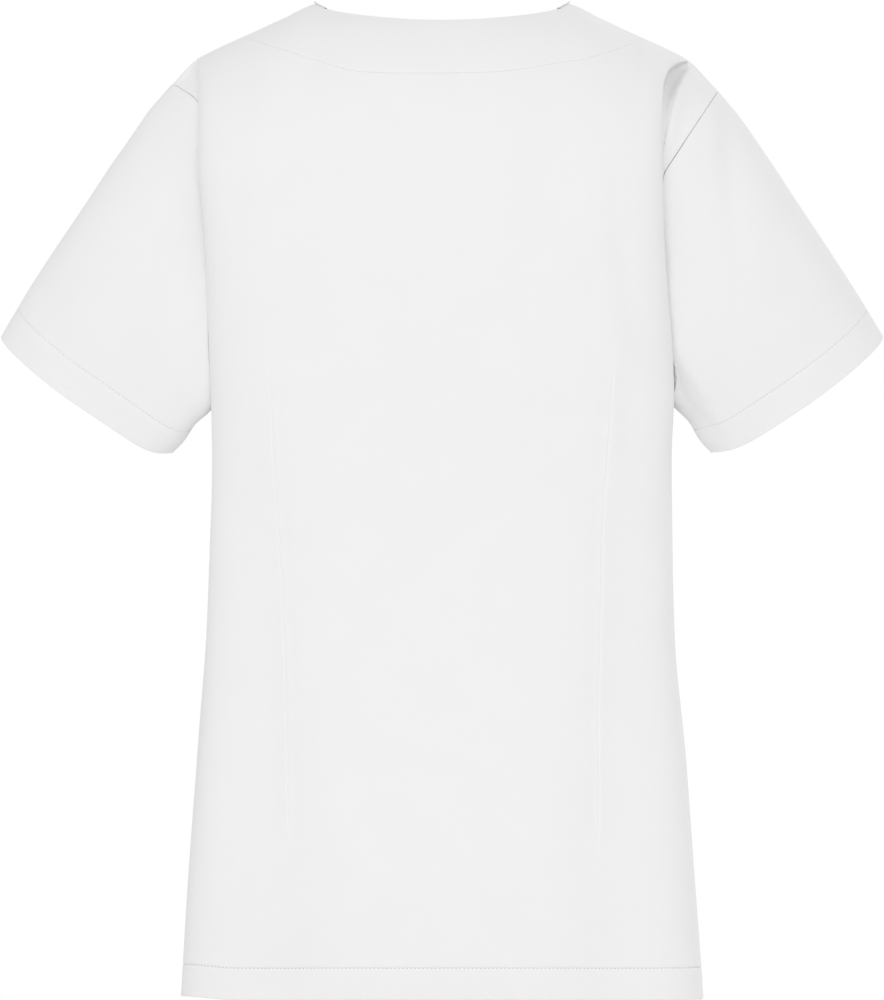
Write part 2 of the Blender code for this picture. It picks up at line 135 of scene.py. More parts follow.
def bump(distance, width):
    """1 at distance 0, and falling softly to nothing about two widths away."""
    return np.exp(-((distance / width) ** 2))


def ramp(x, start, end):
    """0 at start, 1 at end, and smooth between."""
    t = np.clip((np.asarray(x, float) - start) / (end - start), 0, 1)
    return t * t * (3 - 2 * t)


def plateau(x, start, full, fading, end):
    """0 up to start, 1 from full to fading, 0 again past end, and smooth between."""
    return ramp(x, start, full) * (1 - ramp(x, fading, end))


# %% [markdown]
# ## The form of the top
#
# These are the measures of the frame's own solids: the trunk's outline and depth at some heights,
# the soft fold of the back over each armhole, the armholes, the shoulder seams, the neckline and
# the facings. The cloth is laid on the same form, so that it never leaves its solid.

# %% The measures
HEM_HEIGHT = -0.7360
HEM_DEPTH = 0.0235
SLEEVE_HEM_DEPTH = {LEFT: 0.0256, RIGHT: 0.0243}
UNDERARM_HEIGHT = -0.2500
NECK_HALF_WIDTH = 0.0850
V_DEPTH = 0.1500
FACING_AT_SHOULDER = 0.1480
FACING_LOWEST = -0.0700  # the back one ends above this height

# The trunk below the shoulders, from the hem up. left and right are its outline seen from behind,
# back and front are how far the cloth stands off the shoulder line at the middle, turn is how
# far back the side begins to turn forward, and square is the exponent of the section's curve.
TRUNK = table(
    "height   left    right   back    front   turn   square",
    (-0.7360, 0.1932, 0.1932, 0.1120, 0.1160, 0.040, 2.25),
    (-0.6500, 0.1880, 0.1873, 0.1090, 0.1130, 0.038, 2.28),
    (-0.5600, 0.1813, 0.1806, 0.1010, 0.1070, 0.034, 2.32),
    (-0.4700, 0.1746, 0.1724, 0.0925, 0.1035, 0.032, 2.36),
    (-0.4000, 0.1718, 0.1705, 0.0900, 0.1060, 0.034, 2.40),
    (-0.3300, 0.1700, 0.1700, 0.0950, 0.1150, 0.040, 2.45),
    (-0.2500, 0.1720, 0.1700, 0.1020, 0.1200, 0.046, 2.50),
    (-0.1700, 0.1700, 0.1700, 0.1050, 0.1130, 0.058, 2.50),
    (-0.1250, 0.1700, 0.1700, 0.1020, 0.1000, 0.060, 2.50),
)

# The soft upright fold of the back over each armhole, where its edge hides the sleeve's seam.
BACK_FOLD = table(
    "height   left    right",
    (-0.3300, 0.1700, 0.1700),
    (-0.2900, 0.1709, 0.1715),
    (-0.2500, 0.1724, 0.1702),
    (-0.2150, 0.1735, 0.1672),
    (-0.1750, 0.1754, 0.1648),
    (-0.1450, 0.1780, 0.1643),
    (-0.1250, 0.1800, 0.1648),
)
FRONT_FOLD = table(
    "height   left    right",
    (-0.3300, 0.1700, 0.1700),
    (-0.2900, 0.1700, 0.1700),
    (-0.2500, 0.1695, 0.1695),
    (-0.2100, 0.1670, 0.1670),
    (-0.1700, 0.1650, 0.1650),
)

# The side seam near the underarm and, above it, the armhole's edge: how far out, and how far back
# or forward of the shoulder line. Lower down the side seam lies in the outline. The back and the
# front have the first rows in common.
SIDE_SEAM = (
    (-0.4000, 0.1718, 0.1705, 0.000),
    (-0.3300, 0.1688, 0.1688, 0.000),
    (-0.2900, 0.1660, 0.1660, 0.000),
    (-0.2500, 0.1630, 0.1630, 0.000),
    (-0.2450, 0.1620, 0.1620, 0.010),
)
BACK_EDGE = table(
    "height   left    right   depth",
    *SIDE_SEAM,
    (-0.2320, 0.1600, 0.1600, 0.022),
    (-0.2120, 0.1580, 0.1580, 0.033),
    (-0.1820, 0.1565, 0.1565, 0.042),
    (-0.1500, 0.1575, 0.1590, 0.046),
    (-0.1250, 0.1600, 0.1640, 0.045),
)
FRONT_EDGE = table(
    "height   left    right   depth",
    *SIDE_SEAM,
    (-0.2320, 0.1598, 0.1598, 0.023),
    (-0.2120, 0.1570, 0.1570, 0.036),
    (-0.1900, 0.1550, 0.1550, 0.045),
    (-0.1700, 0.1550, 0.1550, 0.050),
)

# The shoulder seam from the neck to the sleeve: it lies a little behind the ridge at the neck.
SHOULDER = table(
    "out      height   behind",
    (0.0850, -0.0034, 0.0080),
    (0.0940, -0.0040, 0.0060),
    (0.1036, -0.0056, 0.0036),
    (0.1200, -0.0120, 0.0012),
    (0.1350, -0.0190, 0.0),
    (0.1520, -0.0266, 0.0),
    (0.1680, -0.0340, 0.0),
    (0.1820, -0.0414, 0.0),
    (0.1905, -0.0490, 0.0),
    (0.1970, -0.0562, 0.0),
    (0.2050, -0.0650, 0.0),
)
TIP_OUT = {LEFT: 0.1995, RIGHT: 0.2045}  # where the sleeve's seam crosses the shoulder
FOLD_TOP_OUT = {LEFT: 0.1810, RIGHT: 0.1835}  # where the back's fold runs out on the shoulder

BACK_NECK = table(
    "out      height   back",
    (0.0, -0.0118, 0.0520),
    (0.0200, -0.0114, 0.0512),
    (0.0360, -0.0104, 0.0485),
    (0.0500, -0.0092, 0.0440),
    (0.0640, -0.0076, 0.0365),
    (0.0760, -0.0057, 0.0250),
    (0.0820, -0.0044, 0.0160),
    (0.0850, -0.0034, 0.0080),
)

# The line of stitches that holds the back neck facing, as it is seen from behind.
BACK_TOPSTITCH = table(
    "out     left     right",
    (0.0000, -0.0516, -0.0514),
    (0.0320, -0.0516, -0.0508),
    (0.0500, -0.0510, -0.0494),
    (0.0636, -0.0499, -0.0477),
    (0.0800, -0.0458, -0.0446),
    (0.0890, -0.0428, -0.0430),
    (0.1080, -0.0370, -0.0398),
    (0.1290, -0.0302, -0.0336),
    (0.1480, -0.0236, -0.0262),
    (0.1700, -0.0160, -0.0190),
)
FACING_MARGIN = 1.2 * MM  # from those stitches to the facing's own edge
LEAST_FACING = 8 * MM

# The same for the front neck facing, as it is seen from the front.
FRONT_TOPSTITCH = table(
    "out     left     right",
    (0.0000, -0.2150, -0.2150),
    (0.0229, -0.2000, -0.2000),
    (0.0489, -0.1712, -0.1712),
    (0.0702, -0.1370, -0.1370),
    (0.0831, -0.1080, -0.1080),
    (0.0960, -0.0800, -0.0800),
    (0.1110, -0.0560, -0.0560),
    (0.1280, -0.0380, -0.0380),
    (0.1440, -0.0260, -0.0260),
    (0.1700, -0.0120, -0.0120),
)

# %% [markdown]
# ## Where the darts run
#
# A dart is a fold of cloth stitched away on the inside, which draws the back in at the waist. What
# shows is one thin seam line. On this back it starts level with the underarm, runs down past the
# waist and fades out well above the hem. The table holds both lines as they hang.

# %% The dart lines
DART = table(
    "height   left    right",
    (-0.6260, 0.1142, 0.1169),
    (-0.5816, 0.1154, 0.1173),
    (-0.5261, 0.1162, 0.1166),
    (-0.4817, 0.1169, 0.1175),
    (-0.4373, 0.1184, 0.1180),
    (-0.3818, 0.1214, 0.1188),
    (-0.3374, 0.1236, 0.1221),
    (-0.2930, 0.1258, 0.1249),
    (-0.2597, 0.1280, 0.1265),
)
DART_SPREAD = 0.70  # how far out the dart's columns lie above the dart, as a share of the half back
DART_COLUMNS = MM * np.array([-4.5, -2.8, -1.7, -1.0, -0.55, -0.25, 0, 0.25, 0.55, 1.0, 1.7, 2.8, 4.5])

# %% [markdown]
# ## Half a row of a panel
#
# Seen from above, half a panel runs from the middle, round the body to a soft corner, and on to the
# side seam or armhole. The body's part is a superellipse, whose exponent says how square the corner
# is. The columns stand closest where the cloth changes quickest: at the neck's corner, at the dart
# and at the edge that is sewn. They follow the dart line down the back, so that a crease one
# millimetre wide can lie along a column without a mesh that is fine everywhere.

# %% Rows of the form
NECK_SHARE = NECK_HALF_WIDTH / 0.182
EDGE = MM * np.array([1.3, 0.6, 0.18, 0.0])  # the last columns and rows before a sewn edge
PAST_FOLD = MM * np.array([0.3, 0.6, 1.0, 1.6, 2.4])  # the first columns past the fold of the cloth
NECK_COLUMNS, DARTLESS_COLUMNS, BEFORE_DART, AFTER_DART, TURN_COLUMNS = 25, 31, 13, 19, 11
NECK_CROWDING = 1.4  # at 1 the columns would be as close at the middle as at the neck's corner
SIDE_FULLNESS = 0.55  # how round the cloth turns from there to its edge; 0 would be a straight line


def columns(to_fold, to_edge, dart):
    """Distances of the columns from the middle, in a half row whose corner and edge are this far out."""
    neck = NECK_SHARE * to_fold
    inner = neck * (1 - (1 - np.linspace(0, 1, NECK_COLUMNS)) ** NECK_CROWDING)
    if dart is None:
        outer = np.linspace(neck, to_fold, DARTLESS_COLUMNS)[1:]
    else:
        before = np.linspace(neck, dart + DART_COLUMNS[0], BEFORE_DART)[1:-1]
        after = np.linspace(dart + DART_COLUMNS[-1], to_fold, AFTER_DART)[1:]
        outer = np.concatenate([before, dart + DART_COLUMNS, after])
    turned = to_fold + np.linspace(PAST_FOLD[-1], to_edge - EDGE[0], TURN_COLUMNS)[1:-1]
    return np.concatenate([inner, outer, to_fold + PAST_FOLD, turned, to_fold + to_edge - EDGE])


def half_row(height, side, depth_column, fold, edge, darted):
    """Half a level row, with y positive away from the body, and the distances of its columns."""
    name = SIDE_NAME[side]
    depth, square, turn = (read(TRUNK, column, height) for column in (depth_column, "square", "turn"))
    fold_out = read(fold if height > fold["height"][0] else TRUNK, name, height)
    corner, end = np.array([fold_out, turn]), np.array([fold_out, 0.0])
    if height > edge["height"][0]:
        end = np.array([read(edge, name, height), read(edge, "depth", height)])
    angle = np.linspace(0, math.pi / 2, 300)
    out, back = fold_out * np.sin(angle) ** (2 / square), (depth - turn) * np.cos(angle) ** (2 / square)
    body = np.stack([out, turn + back], axis=1)
    pull = np.array([0, SIDE_FULLNESS * (corner[1] - end[1])])
    curve = np.concatenate([body, bezier(corner, corner - pull, end + pull, end)[1:]])
    length = along(curve)
    to_fold = length[len(body) - 1]
    dart = None
    if darted:
        on_line = np.interp(read(DART, name, height), body[:, 0], length[: len(body)])
        above = ramp(height, DART["height"][-1], -0.14)
        dart = on_line * (1 - above) + DART_SPREAD * to_fold * above
    at = columns(to_fold, length[-1] - to_fold, dart)
    row = places(curve, at)
    return np.stack([side * row[:, 0], row[:, 1], np.full(len(row), height)], axis=1), at, to_fold, length[-1]


# %% [markdown]
# ## The yoke: up and over the shoulder
#
# Above the armpit the cloth rolls forward to the neckline and the shoulder seam, a quarter turn or
# so. Each column is carried from the last level row to its own point of the top edge. In the front,
# the V is cut out of a front that would reach up to the neck, by stopping each column early.

# %% What both yokes share
YOKE_SHARES = np.linspace(0, 1, 61)[1:]
EARLY = {LEFT: 0.45, RIGHT: 1.0}  # how soon the armhole's edge moves out on its way up to the shoulder
LATENESS = 1.3  # the higher, the nearer to its end does a late column move sideways
ROW_STEP = 2.5 * MM  # between the level rows below the shoulders
BACK_YOKE_HEIGHT, FRONT_YOKE_HEIGHT = -0.125, -0.170  # the last level row, from which the cloth rolls forward
NECK_SPREAD = 9 * MM  # on top of the shoulder the neckline stands this much wider than at its seam
SEAM_DROP = {LEFT: 2.2 * MM, RIGHT: 0}  # near the tip the armhole's seam sags this much
# Just past its fold the cloth dips: how deep it lies at shares of the way up to the shoulder, in
# millimetres, and how much deeper still in the narrow trench along the fold itself.
FOLD_DIP = {
    LEFT: table(
        "share  dip  trench",
        (0.00, 0.0, 0.0),
        (0.35, 0.4, 0.0),
        (0.45, 2.5, 0.5),
        (0.60, 7.0, 1.0),
        (0.75, 8.5, 1.5),
        (0.88, 7.0, 1.0),
        (0.94, 4.0, 0.5),
        (1.00, 0.5, 0.0),
    ),
    RIGHT: table(
        "share  dip  trench",
        (0.00, 1.0, 1.5),
        (0.25, 2.5, 2.5),
        (0.50, 4.5, 4.5),
        (0.72, 6.0, 8.5),
        (0.85, 5.0, 7.5),
        (0.95, 1.5, 2.0),
        (1.00, 0.0, 0.0),
    ),
}


def drawn(side, out, line, depth_column):
    """The points of a line that is given by its depth and height at distances out from the middle."""
    deep, high = (read(line, column, out, "out") for column in (depth_column, "height"))
    return np.stack([side * out, deep, high], axis=1)


def level_rows(last):
    return np.append(np.arange(HEM_HEIGHT, last - 1 * MM, ROW_STEP), last)


def neck_shares(at, to_fold):
    """How far out the columns below the neckline are, as shares of the way to the neck's corner."""
    return at[at <= NECK_SHARE * to_fold + 1e-9] / (NECK_SHARE * to_fold)


def top_edge(side, neck, at, to_fold, length):
    """The neckline, given, and the shoulder seam, for the columns at these distances."""
    start = NECK_SHARE * to_fold
    stops = [start, to_fold, length], [NECK_HALF_WIDTH, FOLD_TOP_OUT[side], TIP_OUT[side]]
    out = np.interp(at[at > start + 1e-9], *stops)
    return np.concatenate([neck, drawn(side, out, SHOULDER, "behind")])


def rolled(below, above, share, bend, early):
    """The points a share of the way from the row below up to the edge above, on a roll through
    bend radians. early is 1 where a column moves sideways as it climbs, 0 where it does so last."""
    turned = share * bend
    climb = np.sin(turned) / np.sin(bend)
    forward = (1 - np.cos(turned)) / (1 - np.cos(bend))
    sideways = early * climb + (1 - early) * (1 - np.cos(share * math.pi / 2)) ** LATENESS
    return below + (above - below) * np.stack([sideways, forward, climb], axis=1)


# %% Half of the back
UNDERCUT = 1.8 * MM  # the sleeve presses the side in this far, just under the fold
BACK_NECK_BEND = (58, 86)  # degrees that the cloth rolls forward, at the middle and at the neck's corner
BEND_EASED = 4  # it rolls a quarter turn along the shoulder, but so much less beside that corner


def half_back(side):
    heights = level_rows(BACK_YOKE_HEIGHT)
    halves = [half_row(h, side, "back", BACK_FOLD, BACK_EDGE, True) for h in heights]
    rows = []
    for height, (row, at, to_fold, length) in zip(heights, halves):
        past = (at - to_fold) / (length - to_fold)  # 0 at the fold and 1 at the seam
        beside_sleeve = plateau(-height, 0.130, 0.165, 0.275, 0.315)
        row[:, 0] -= side * UNDERCUT * beside_sleeve * plateau(past, 0.02, 0.2, 0.7, 1.0)
        rows.append(row)
    share = neck_shares(at, to_fold)
    out = np.linspace(0, NECK_HALF_WIDTH, 200)
    neck = drawn(side, out, BACK_NECK, "back")
    neck = places(neck, share * along(neck)[-1])
    top = top_edge(side, neck, at, to_fold, length)
    past_neck = at[len(share) :] - NECK_SHARE * to_fold
    shoulder_bend = 90 - BEND_EASED * bump(past_neck, 12 * MM)
    bend = np.radians([*(BACK_NECK_BEND[0] + np.ptp(BACK_NECK_BEND) * share), *shoulder_bend])
    early = EARLY[side] * np.clip(past, 0, 1)
    wall = ramp(at - to_fold, -0.1 * MM, 0.9 * MM)
    rise, trench = 1 - ramp(past, 0.65, 1.0), 1 - ramp(past, 0.04, 0.32)
    overhang = bump(at - to_fold - 1.2 * MM, 0.9 * MM)
    for share_up in YOKE_SHARES:
        row = rolled(rows[len(heights) - 1], top, share_up, bend, early)
        dip, deeper = (MM * read(FOLD_DIP[side], name, share_up, "share") for name in ("dip", "trench"))
        row[:, 1] -= wall * rise * (dip + deeper * trench)
        row[:, 0] -= side * 0.3 * deeper * overhang
        row[:, 2] -= SEAM_DROP[side] * bump(share_up - 0.82, 0.13) * np.clip(past, 0, 1) ** 2
        rows.append(row)
    return np.array(rows)


# %% Half of the front
def spread(row, side):
    """Moves the front's points near the neck's corner outwards where they lie on top of the shoulder."""
    out = abs(row[:, 0])
    ahead = read(SHOULDER, "behind", out, "out") - row[:, 1]  # of the shoulder seam
    near = ramp(row[:, 2], -0.055, -0.001) * ramp(ahead, 0.0005, 0.0140) * (1 - ramp(out, 0.088, 0.125))
    return row + np.outer(near, [side * NECK_SPREAD, 0, 0])


EVENING_ROUNDS = 90
HIGH_NECK_AHEAD, HIGH_NECK_DROP = 62 * MM, 4 * MM  # where a front without its V would end, at the middle
FRONT_NECK_BEND = (70, 102)  # as on the back
# The same past the neck's corner, at shares of the whole way to the fold, counted from that corner.
FRONT_SHOULDER_BEND = ([0, 0.07, 0.14, 0.27], [102, 95, 90.5, 90])
V_BOW = 1.15  # 1 would leave the V's sides straight
V_END = 0.975  # past this share of the way to the neck's corner the cut's height runs straight to it


def evened_below_corner(yoke, past_neck):
    """Cloth can't keep the kink of the neck's corner far below it, so the rows are evened there."""
    even = 0.5 * ramp(1 - YOKE_SHARES, 0.12, 0.40)[:, None] * bump(past_neck, 0.04)
    for _ in range(EVENING_ROUNDS):
        beside = (yoke[:, :-2] + yoke[:, 2:]) / 2
        yoke[:, 1:-1] += even[:, 1:-1, None] * (beside - yoke[:, 1:-1])
    return yoke


def half_front(side):
    heights = level_rows(FRONT_YOKE_HEIGHT)
    halves = [half_row(h, side, "front", FRONT_FOLD, FRONT_EDGE, False) for h in heights]
    rows = [half[0] * [1, -1, 1] for half in halves]
    _, at, to_fold, length = halves[-1]
    below = rows[-1]
    share = neck_shares(at, to_fold)
    count, angle = len(share), share * math.pi / 2
    high_neck = np.stack(
        [
            below[:count, 0] * NECK_HALF_WIDTH / abs(below[count - 1, 0]),
            SHOULDER["behind"][0] - HIGH_NECK_AHEAD * np.cos(angle),
            SHOULDER["height"][0] - HIGH_NECK_DROP * np.cos(angle),
        ],
        axis=1,
    )
    top = top_edge(side, high_neck, at, to_fold, length)
    past_neck = (at - NECK_SHARE * to_fold) / to_fold
    bend = np.radians(np.interp(past_neck, *FRONT_SHOULDER_BEND))
    bend[:count] = np.radians(FRONT_NECK_BEND[0] + np.ptp(FRONT_NECK_BEND) * share)
    out = np.abs(top[:count, 0]) / NECK_HALF_WIDTH
    climb = (-V_DEPTH * (1 - out**V_BOW) - below[:count, 2]) / (top[:count, 2] - below[:count, 2])
    cut = np.arcsin(np.clip(climb * np.sin(bend[:count]), 0, 1)) / bend[:count]
    last = np.searchsorted(share, V_END)
    cut[last:] = np.interp(share[last:], [share[last - 1], 1], [cut[last - 1], 1])
    stop = np.concatenate([cut, np.ones(len(top) - count)])
    yoke = [spread(rolled(below, top, up * stop, bend, np.zeros(len(top))), side) for up in YOKE_SHARES]
    return np.concatenate([rows, evened_below_corner(np.array(yoke), at - NECK_SHARE * to_fold)])


# %% The whole panels
def whole(half):
    """Both halves as one grid of points, its columns running so that faces look outwards."""
    right, left = half(RIGHT), half(LEFT)
    grid = np.concatenate([right[:, :0:-1], left], axis=1)
    return grid if grid[0, grid.shape[1] // 2, 1] < 0 else grid[:, ::-1]


back_form, front_form = whole(half_back), whole(half_front)
print("back form", back_form.shape, "front form", front_form.shape)

# %% [markdown]
# ## Rows where the sewing is
#
# A hem is one row of stitches, a facing is held by another, and a seam is an edge. So each column
# of the form is walked again from the hem up, and rows are set close together at these places and
# far apart between. The result is a sheet: its points, the way out at each point, and how far each
# point lies across and up the cloth, which the weave, the creases and the stitches all use.

# %% A sheet on a form
BELOW_STITCHES = MM * np.array([0, 0.25, 0.8, 2.2, 6, 11, 16.5])
ROUND_STITCHES = MM * np.array([-2.5, -1.1, -0.5, -0.2, 0, 0.2, 0.5, 1.1, 2.5])
HEM_STITCH = len(BELOW_STITCHES) + len(ROUND_STITCHES) // 2  # the row of the hem's stitches
STITCH_ROWS = MM * np.array([-2.6, -1.2, -0.55, -0.22, 0, 0.22, 0.55, 1.2, 2.6])
FACING_ROWS = 13  # from those stitches up to the neckline


def outward(grid):
    """The unit normal at each point of a grid whose columns and rows run so that faces look out."""
    return unit(np.cross(np.gradient(grid, axis=1), np.gradient(grid, axis=0)))


def sheet_on(grid, hem, between, stitched=None, tube=False):
    """A sheet on a form. hem is its hem's depth, and stitched is how far below its last row each
    column meets the line of a facing's stitches, if it has one. between is how many rows lie from
    the hem up to there, or to the last row."""
    hem_rows = np.concatenate([BELOW_STITCHES, hem + ROUND_STITCHES])
    out = outward(grid)
    if tube:
        out[:, 0] = out[:, -1] = (out[:, 0] + out[:, -1]) / 2
    at, normal, up = [], [], []
    for c in range(grid.shape[1]):
        length = along(grid[:, c])
        total = length[-1]
        top = total - EDGE
        if stitched is None:
            rest = np.linspace(hem_rows[-1], top[0], between)[1:-1]
        else:
            line = total - stitched[c]
            rest = np.concatenate(
                [
                    np.linspace(hem_rows[-1], line + STITCH_ROWS[0], between)[1:-1],
                    line + STITCH_ROWS,
                    np.linspace(line + STITCH_ROWS[-1], top[0], FACING_ROWS)[1:-1],
                ]
            )
        rows = np.concatenate([hem_rows, rest, top])
        at.append(read_along(rows, length, grid[:, c]))
        normal.append(read_along(rows, length, out[:, c]))
        up.append(rows)
    at, normal = np.array(at).transpose(1, 0, 2), unit(np.array(normal).transpose(1, 0, 2))
    steps = np.linalg.norm(np.diff(at, axis=1), axis=2)
    across = np.concatenate([np.zeros((len(at), 1)), np.cumsum(steps, axis=1)], axis=1)
    across -= across[:, across.shape[1] // 2, None]
    facing_row = len(hem_rows) + between - 2 + len(STITCH_ROWS) // 2
    return {
        "at": at,
        "out": normal,
        "across": across,
        "up": np.array(up).T,
        "hem": hem,
        "stitched": stitched,
        "facing_row": facing_row,
    }


# %% Both panels as sheets
def down_to_line(grid, line):
    """For each column, how far down from its end it crosses a line that is drawn from behind."""
    found = []
    for c in range(grid.shape[1]):
        column = grid[:, c]
        name = SIDE_NAME[LEFT if column[-1, 0] > 0 else RIGHT]
        above = column[:, 2] - read(line, name, np.abs(column[:, 0]), "out")
        last = np.flatnonzero(above < 0)[-1]
        share = above[last] / (above[last] - above[min(last + 1, len(column) - 1)] + 1e-9)
        length = along(column)
        at = length[last] + share * (length[min(last + 1, len(column) - 1)] - length[last])
        found.append(max(length[-1] - at, LEAST_FACING))
    return np.array(found)


CORNER_LIFT = 2.4 * MM  # the hem turns up a little at the left side seam
for form in (back_form, front_form):
    form[..., 2] += CORNER_LIFT * ramp(form[..., 0], 0.155, 0.193) * ramp(-form[..., 2], 0.66, 0.736)

back = sheet_on(back_form, HEM_DEPTH, 150, down_to_line(back_form, BACK_TOPSTITCH))
front = sheet_on(front_form, HEM_DEPTH, 145, down_to_line(front_form, FRONT_TOPSTITCH))
print("back sheet", back["at"].shape, "front sheet", front["at"].shape)

# %% [markdown]
# ## The sleeves
#
# A sleeve is a tube, sewn to the armhole at one end and turned up at the other. Its first ring is
# the armhole itself, down the back and up the front. From there it eases, within a quarter of its
# length, into the rounded section of the sleeve. The columns start at the underarm, where the real
# sleeve has its own seam.

# %% Sleeve measures
SLEEVE = table(
    "along  top_out top_height under_out under_height half_depth forward square left_under right_under",
    (0.00, 0.1995, -0.0620, 0.1650, -0.2500, 0.0450, 0.000, 1.80, 1.8, 1.8),
    (0.06, 0.2078, -0.0705, 0.1655, -0.2558, 0.0468, 0.000, 1.76, 3.5, 3.5),
    (0.12, 0.2160, -0.0790, 0.1645, -0.2610, 0.0480, 0.001, 1.75, 7.0, 6.0),
    (0.30, 0.2400, -0.1120, 0.1640, -0.2800, 0.0490, 0.004, 1.90, 12.0, 9.0),
    (0.50, 0.2645, -0.1490, 0.1700, -0.2985, 0.0480, 0.009, 2.10, 12.0, 6.0),
    (0.70, 0.2890, -0.1855, 0.1835, -0.3118, 0.0450, 0.016, 2.15, 9.0, 3.5),
    (0.88, 0.3112, -0.2200, 0.1912, -0.3238, 0.0430, 0.023, 1.95, 6.0, 2.8),
    (1.00, 0.3266, -0.2460, 0.1995, -0.3324, 0.0420, 0.028, 1.80, 4.5, 2.6),
)
SLEEVE_SWING = math.radians(14.8)  # the sleeve's hem turns this far forward
SLEEVE_BLEND = 0.25  # the share of its length in which it eases out of the armhole's shape
SLEEVE_HALF = 61  # points from the underarm to the top
SLEEVE_RINGS = 81
SEAM_GAP = 0.15 * MM
ARMHOLE_GAP = {LEFT: 0.15 * MM, RIGHT: 0.36 * MM}  # the right one is strained open
BODY_GAP = 0.4 * MM
BODY_TOP = -0.13  # only below this height can a sleeve lie on the body
SAME_WAY = 0.3  # the least cosine between two ways out that are evened where they meet
RIGHT_HIGHER = 2.5 * MM  # the right underarm is pulled up by its creases
SINK = {LEFT: 0.12, RIGHT: 0.18}  # how much the sleeve flattens beside the body, behind


# %% Rings of a sleeve
def sleeve_half(side, along_sleeve, behind):
    """Half a ring of the sleeve from its top to its underside, down its back or its front."""
    values = {name: float(read(SLEEVE, name, along_sleeve, "along")) for name in SLEEVE}
    top = np.array([values["top_out"], values["top_height"]])
    low = np.array([values["under_out"], values["under_height"]])
    if side == RIGHT:
        low[1] += RIGHT_HIGHER * bump(along_sleeve - 0.5, 0.25)
    middle, reach = (top + low) / 2, (top - low) / 2
    down = np.array([reach[1], -reach[0]]) / np.linalg.norm(reach)
    turn = np.linspace(0, math.pi, 721)
    under = values[SIDE_NAME[side] + "_under"]
    square = np.where((turn > math.pi / 2) & behind, under, values["square"])
    radius = (np.abs(np.cos(turn)) ** square + np.abs(np.sin(turn)) ** square) ** (-1 / square)
    over, deep = radius * np.cos(turn), radius * np.sin(turn) * (1 if behind else -1) * values["half_depth"]
    if behind:
        sunk = SINK[side] * plateau(along_sleeve, 0, 0.12, 0.55, 0.95)
        deep = deep * (1 - sunk * np.clip(-over, 0, 1) ** 3)
    swing = SLEEVE_SWING * along_sleeve
    lean = math.sin(swing) * deep * (1 - behind * (over < 0) * over**10)
    out, height = middle[0] + reach[0] * over + lean * down[0], middle[1] + reach[1] * over + lean * down[1]
    curve = np.stack([side * out, math.cos(swing) * deep - values["forward"], height], axis=1)
    return places(curve, np.linspace(0, along(curve)[-1], SLEEVE_HALF))


def sleeve_ring(side, along_sleeve):
    """A whole ring, from the underside up the front to the top and down the back."""
    back_half, front_half = sleeve_half(side, along_sleeve, True), sleeve_half(side, along_sleeve, False)
    return np.concatenate([front_half[::-1], back_half[1:]])


def beside_body(ring, side, gap):
    """Keeps a ring clear of the side of the body, on which the sleeve lies."""
    ring = ring.copy()
    for form, facing in ((back_form, 1), (front_form, -1)):
        heights = form[:, form.shape[1] // 2, 2]
        level = heights < BACK_YOKE_HEIGHT + 0.1 * MM
        half = form[level][:, form[0, :, 0] * side > 0]
        if abs(half[0, 0, 0]) > abs(half[0, -1, 0]):
            half = half[:, ::-1]  # now from the middle out to the edge
        for i in np.flatnonzero((ring[:, 1] * facing > 0) & (ring[:, 2] < BODY_TOP)):
            row = half[np.argmin(np.abs(heights[level] - ring[i, 2]))]
            wrap = row[np.argmax(np.abs(row[:, 0])) :]  # from the fold to the edge
            order = np.argsort(wrap[:, 1] * facing)
            side_out = np.interp(ring[i, 1] * facing, wrap[order, 1] * facing, np.abs(wrap[order, 0]))
            if ring[i, 1] * facing < wrap[order[-1], 1] * facing + gap:
                ring[i, 0] = side * max(side * ring[i, 0], side_out + gap)
    return ring


# %% From the armhole to the hem
def armhole(sheet, side):
    """The armhole's edge of a panel from the shoulder's tip down: its points and ways out."""
    edge = 0 if sheet["at"][0, 0, 0] * side > 0 else -1
    row = int(np.argmax(sheet["at"][:, edge, 2] > UNDERARM_HEIGHT - 1e-6))
    return sheet["at"][row:, edge][::-1], sheet["out"][row:, edge][::-1]


def sleeve_form(side):
    """The sleeve's form, hem first, and the panels' ways out along its last ring."""
    halves = []
    for sheet in (back, front):
        at, out = armhole(sheet, side)
        even = np.linspace(0, along(at)[-1], SLEEVE_HALF)
        halves.append((places(at, even), places(np.hstack([at, out]), even)[:, 3:]))
    (down, down_out), (up, up_out) = halves
    ring = np.concatenate([up[::-1], down[1:]])  # from the underarm up the front and down the back
    ring_out = np.concatenate([up_out[::-1], down_out[1:]])
    tip = (up[0] + down[0]) / 2
    ring[len(up) - 1] = tip
    ring[0] = ring[-1] = (up[-1] + down[-1]) / 2
    first = sleeve_ring(side, 0.0)
    rings = []
    for share_along in np.linspace(1, 0, SLEEVE_RINGS):
        keep = max(0.0, 1 - share_along / SLEEVE_BLEND) ** 2
        made = sleeve_ring(side, share_along) + (ring - first) * keep
        if share_along > 0:
            made = beside_body(made, side, BODY_GAP * min(1.0, share_along / 0.1))
        rings.append(made)
    rings = np.array(rings)
    away = rings[-2] - rings[-1]
    rings[-1] += unit(away) * ARMHOLE_GAP[side]
    return (rings, ring_out) if side == LEFT else (rings[:, ::-1], ring_out[::-1])


def seam_way(out, other):
    """The way in which two edges turn where they are sewn, halfway between the ways out of both."""
    return np.where(np.sum(out * other, axis=1, keepdims=True) > SAME_WAY, unit(out + other), out)


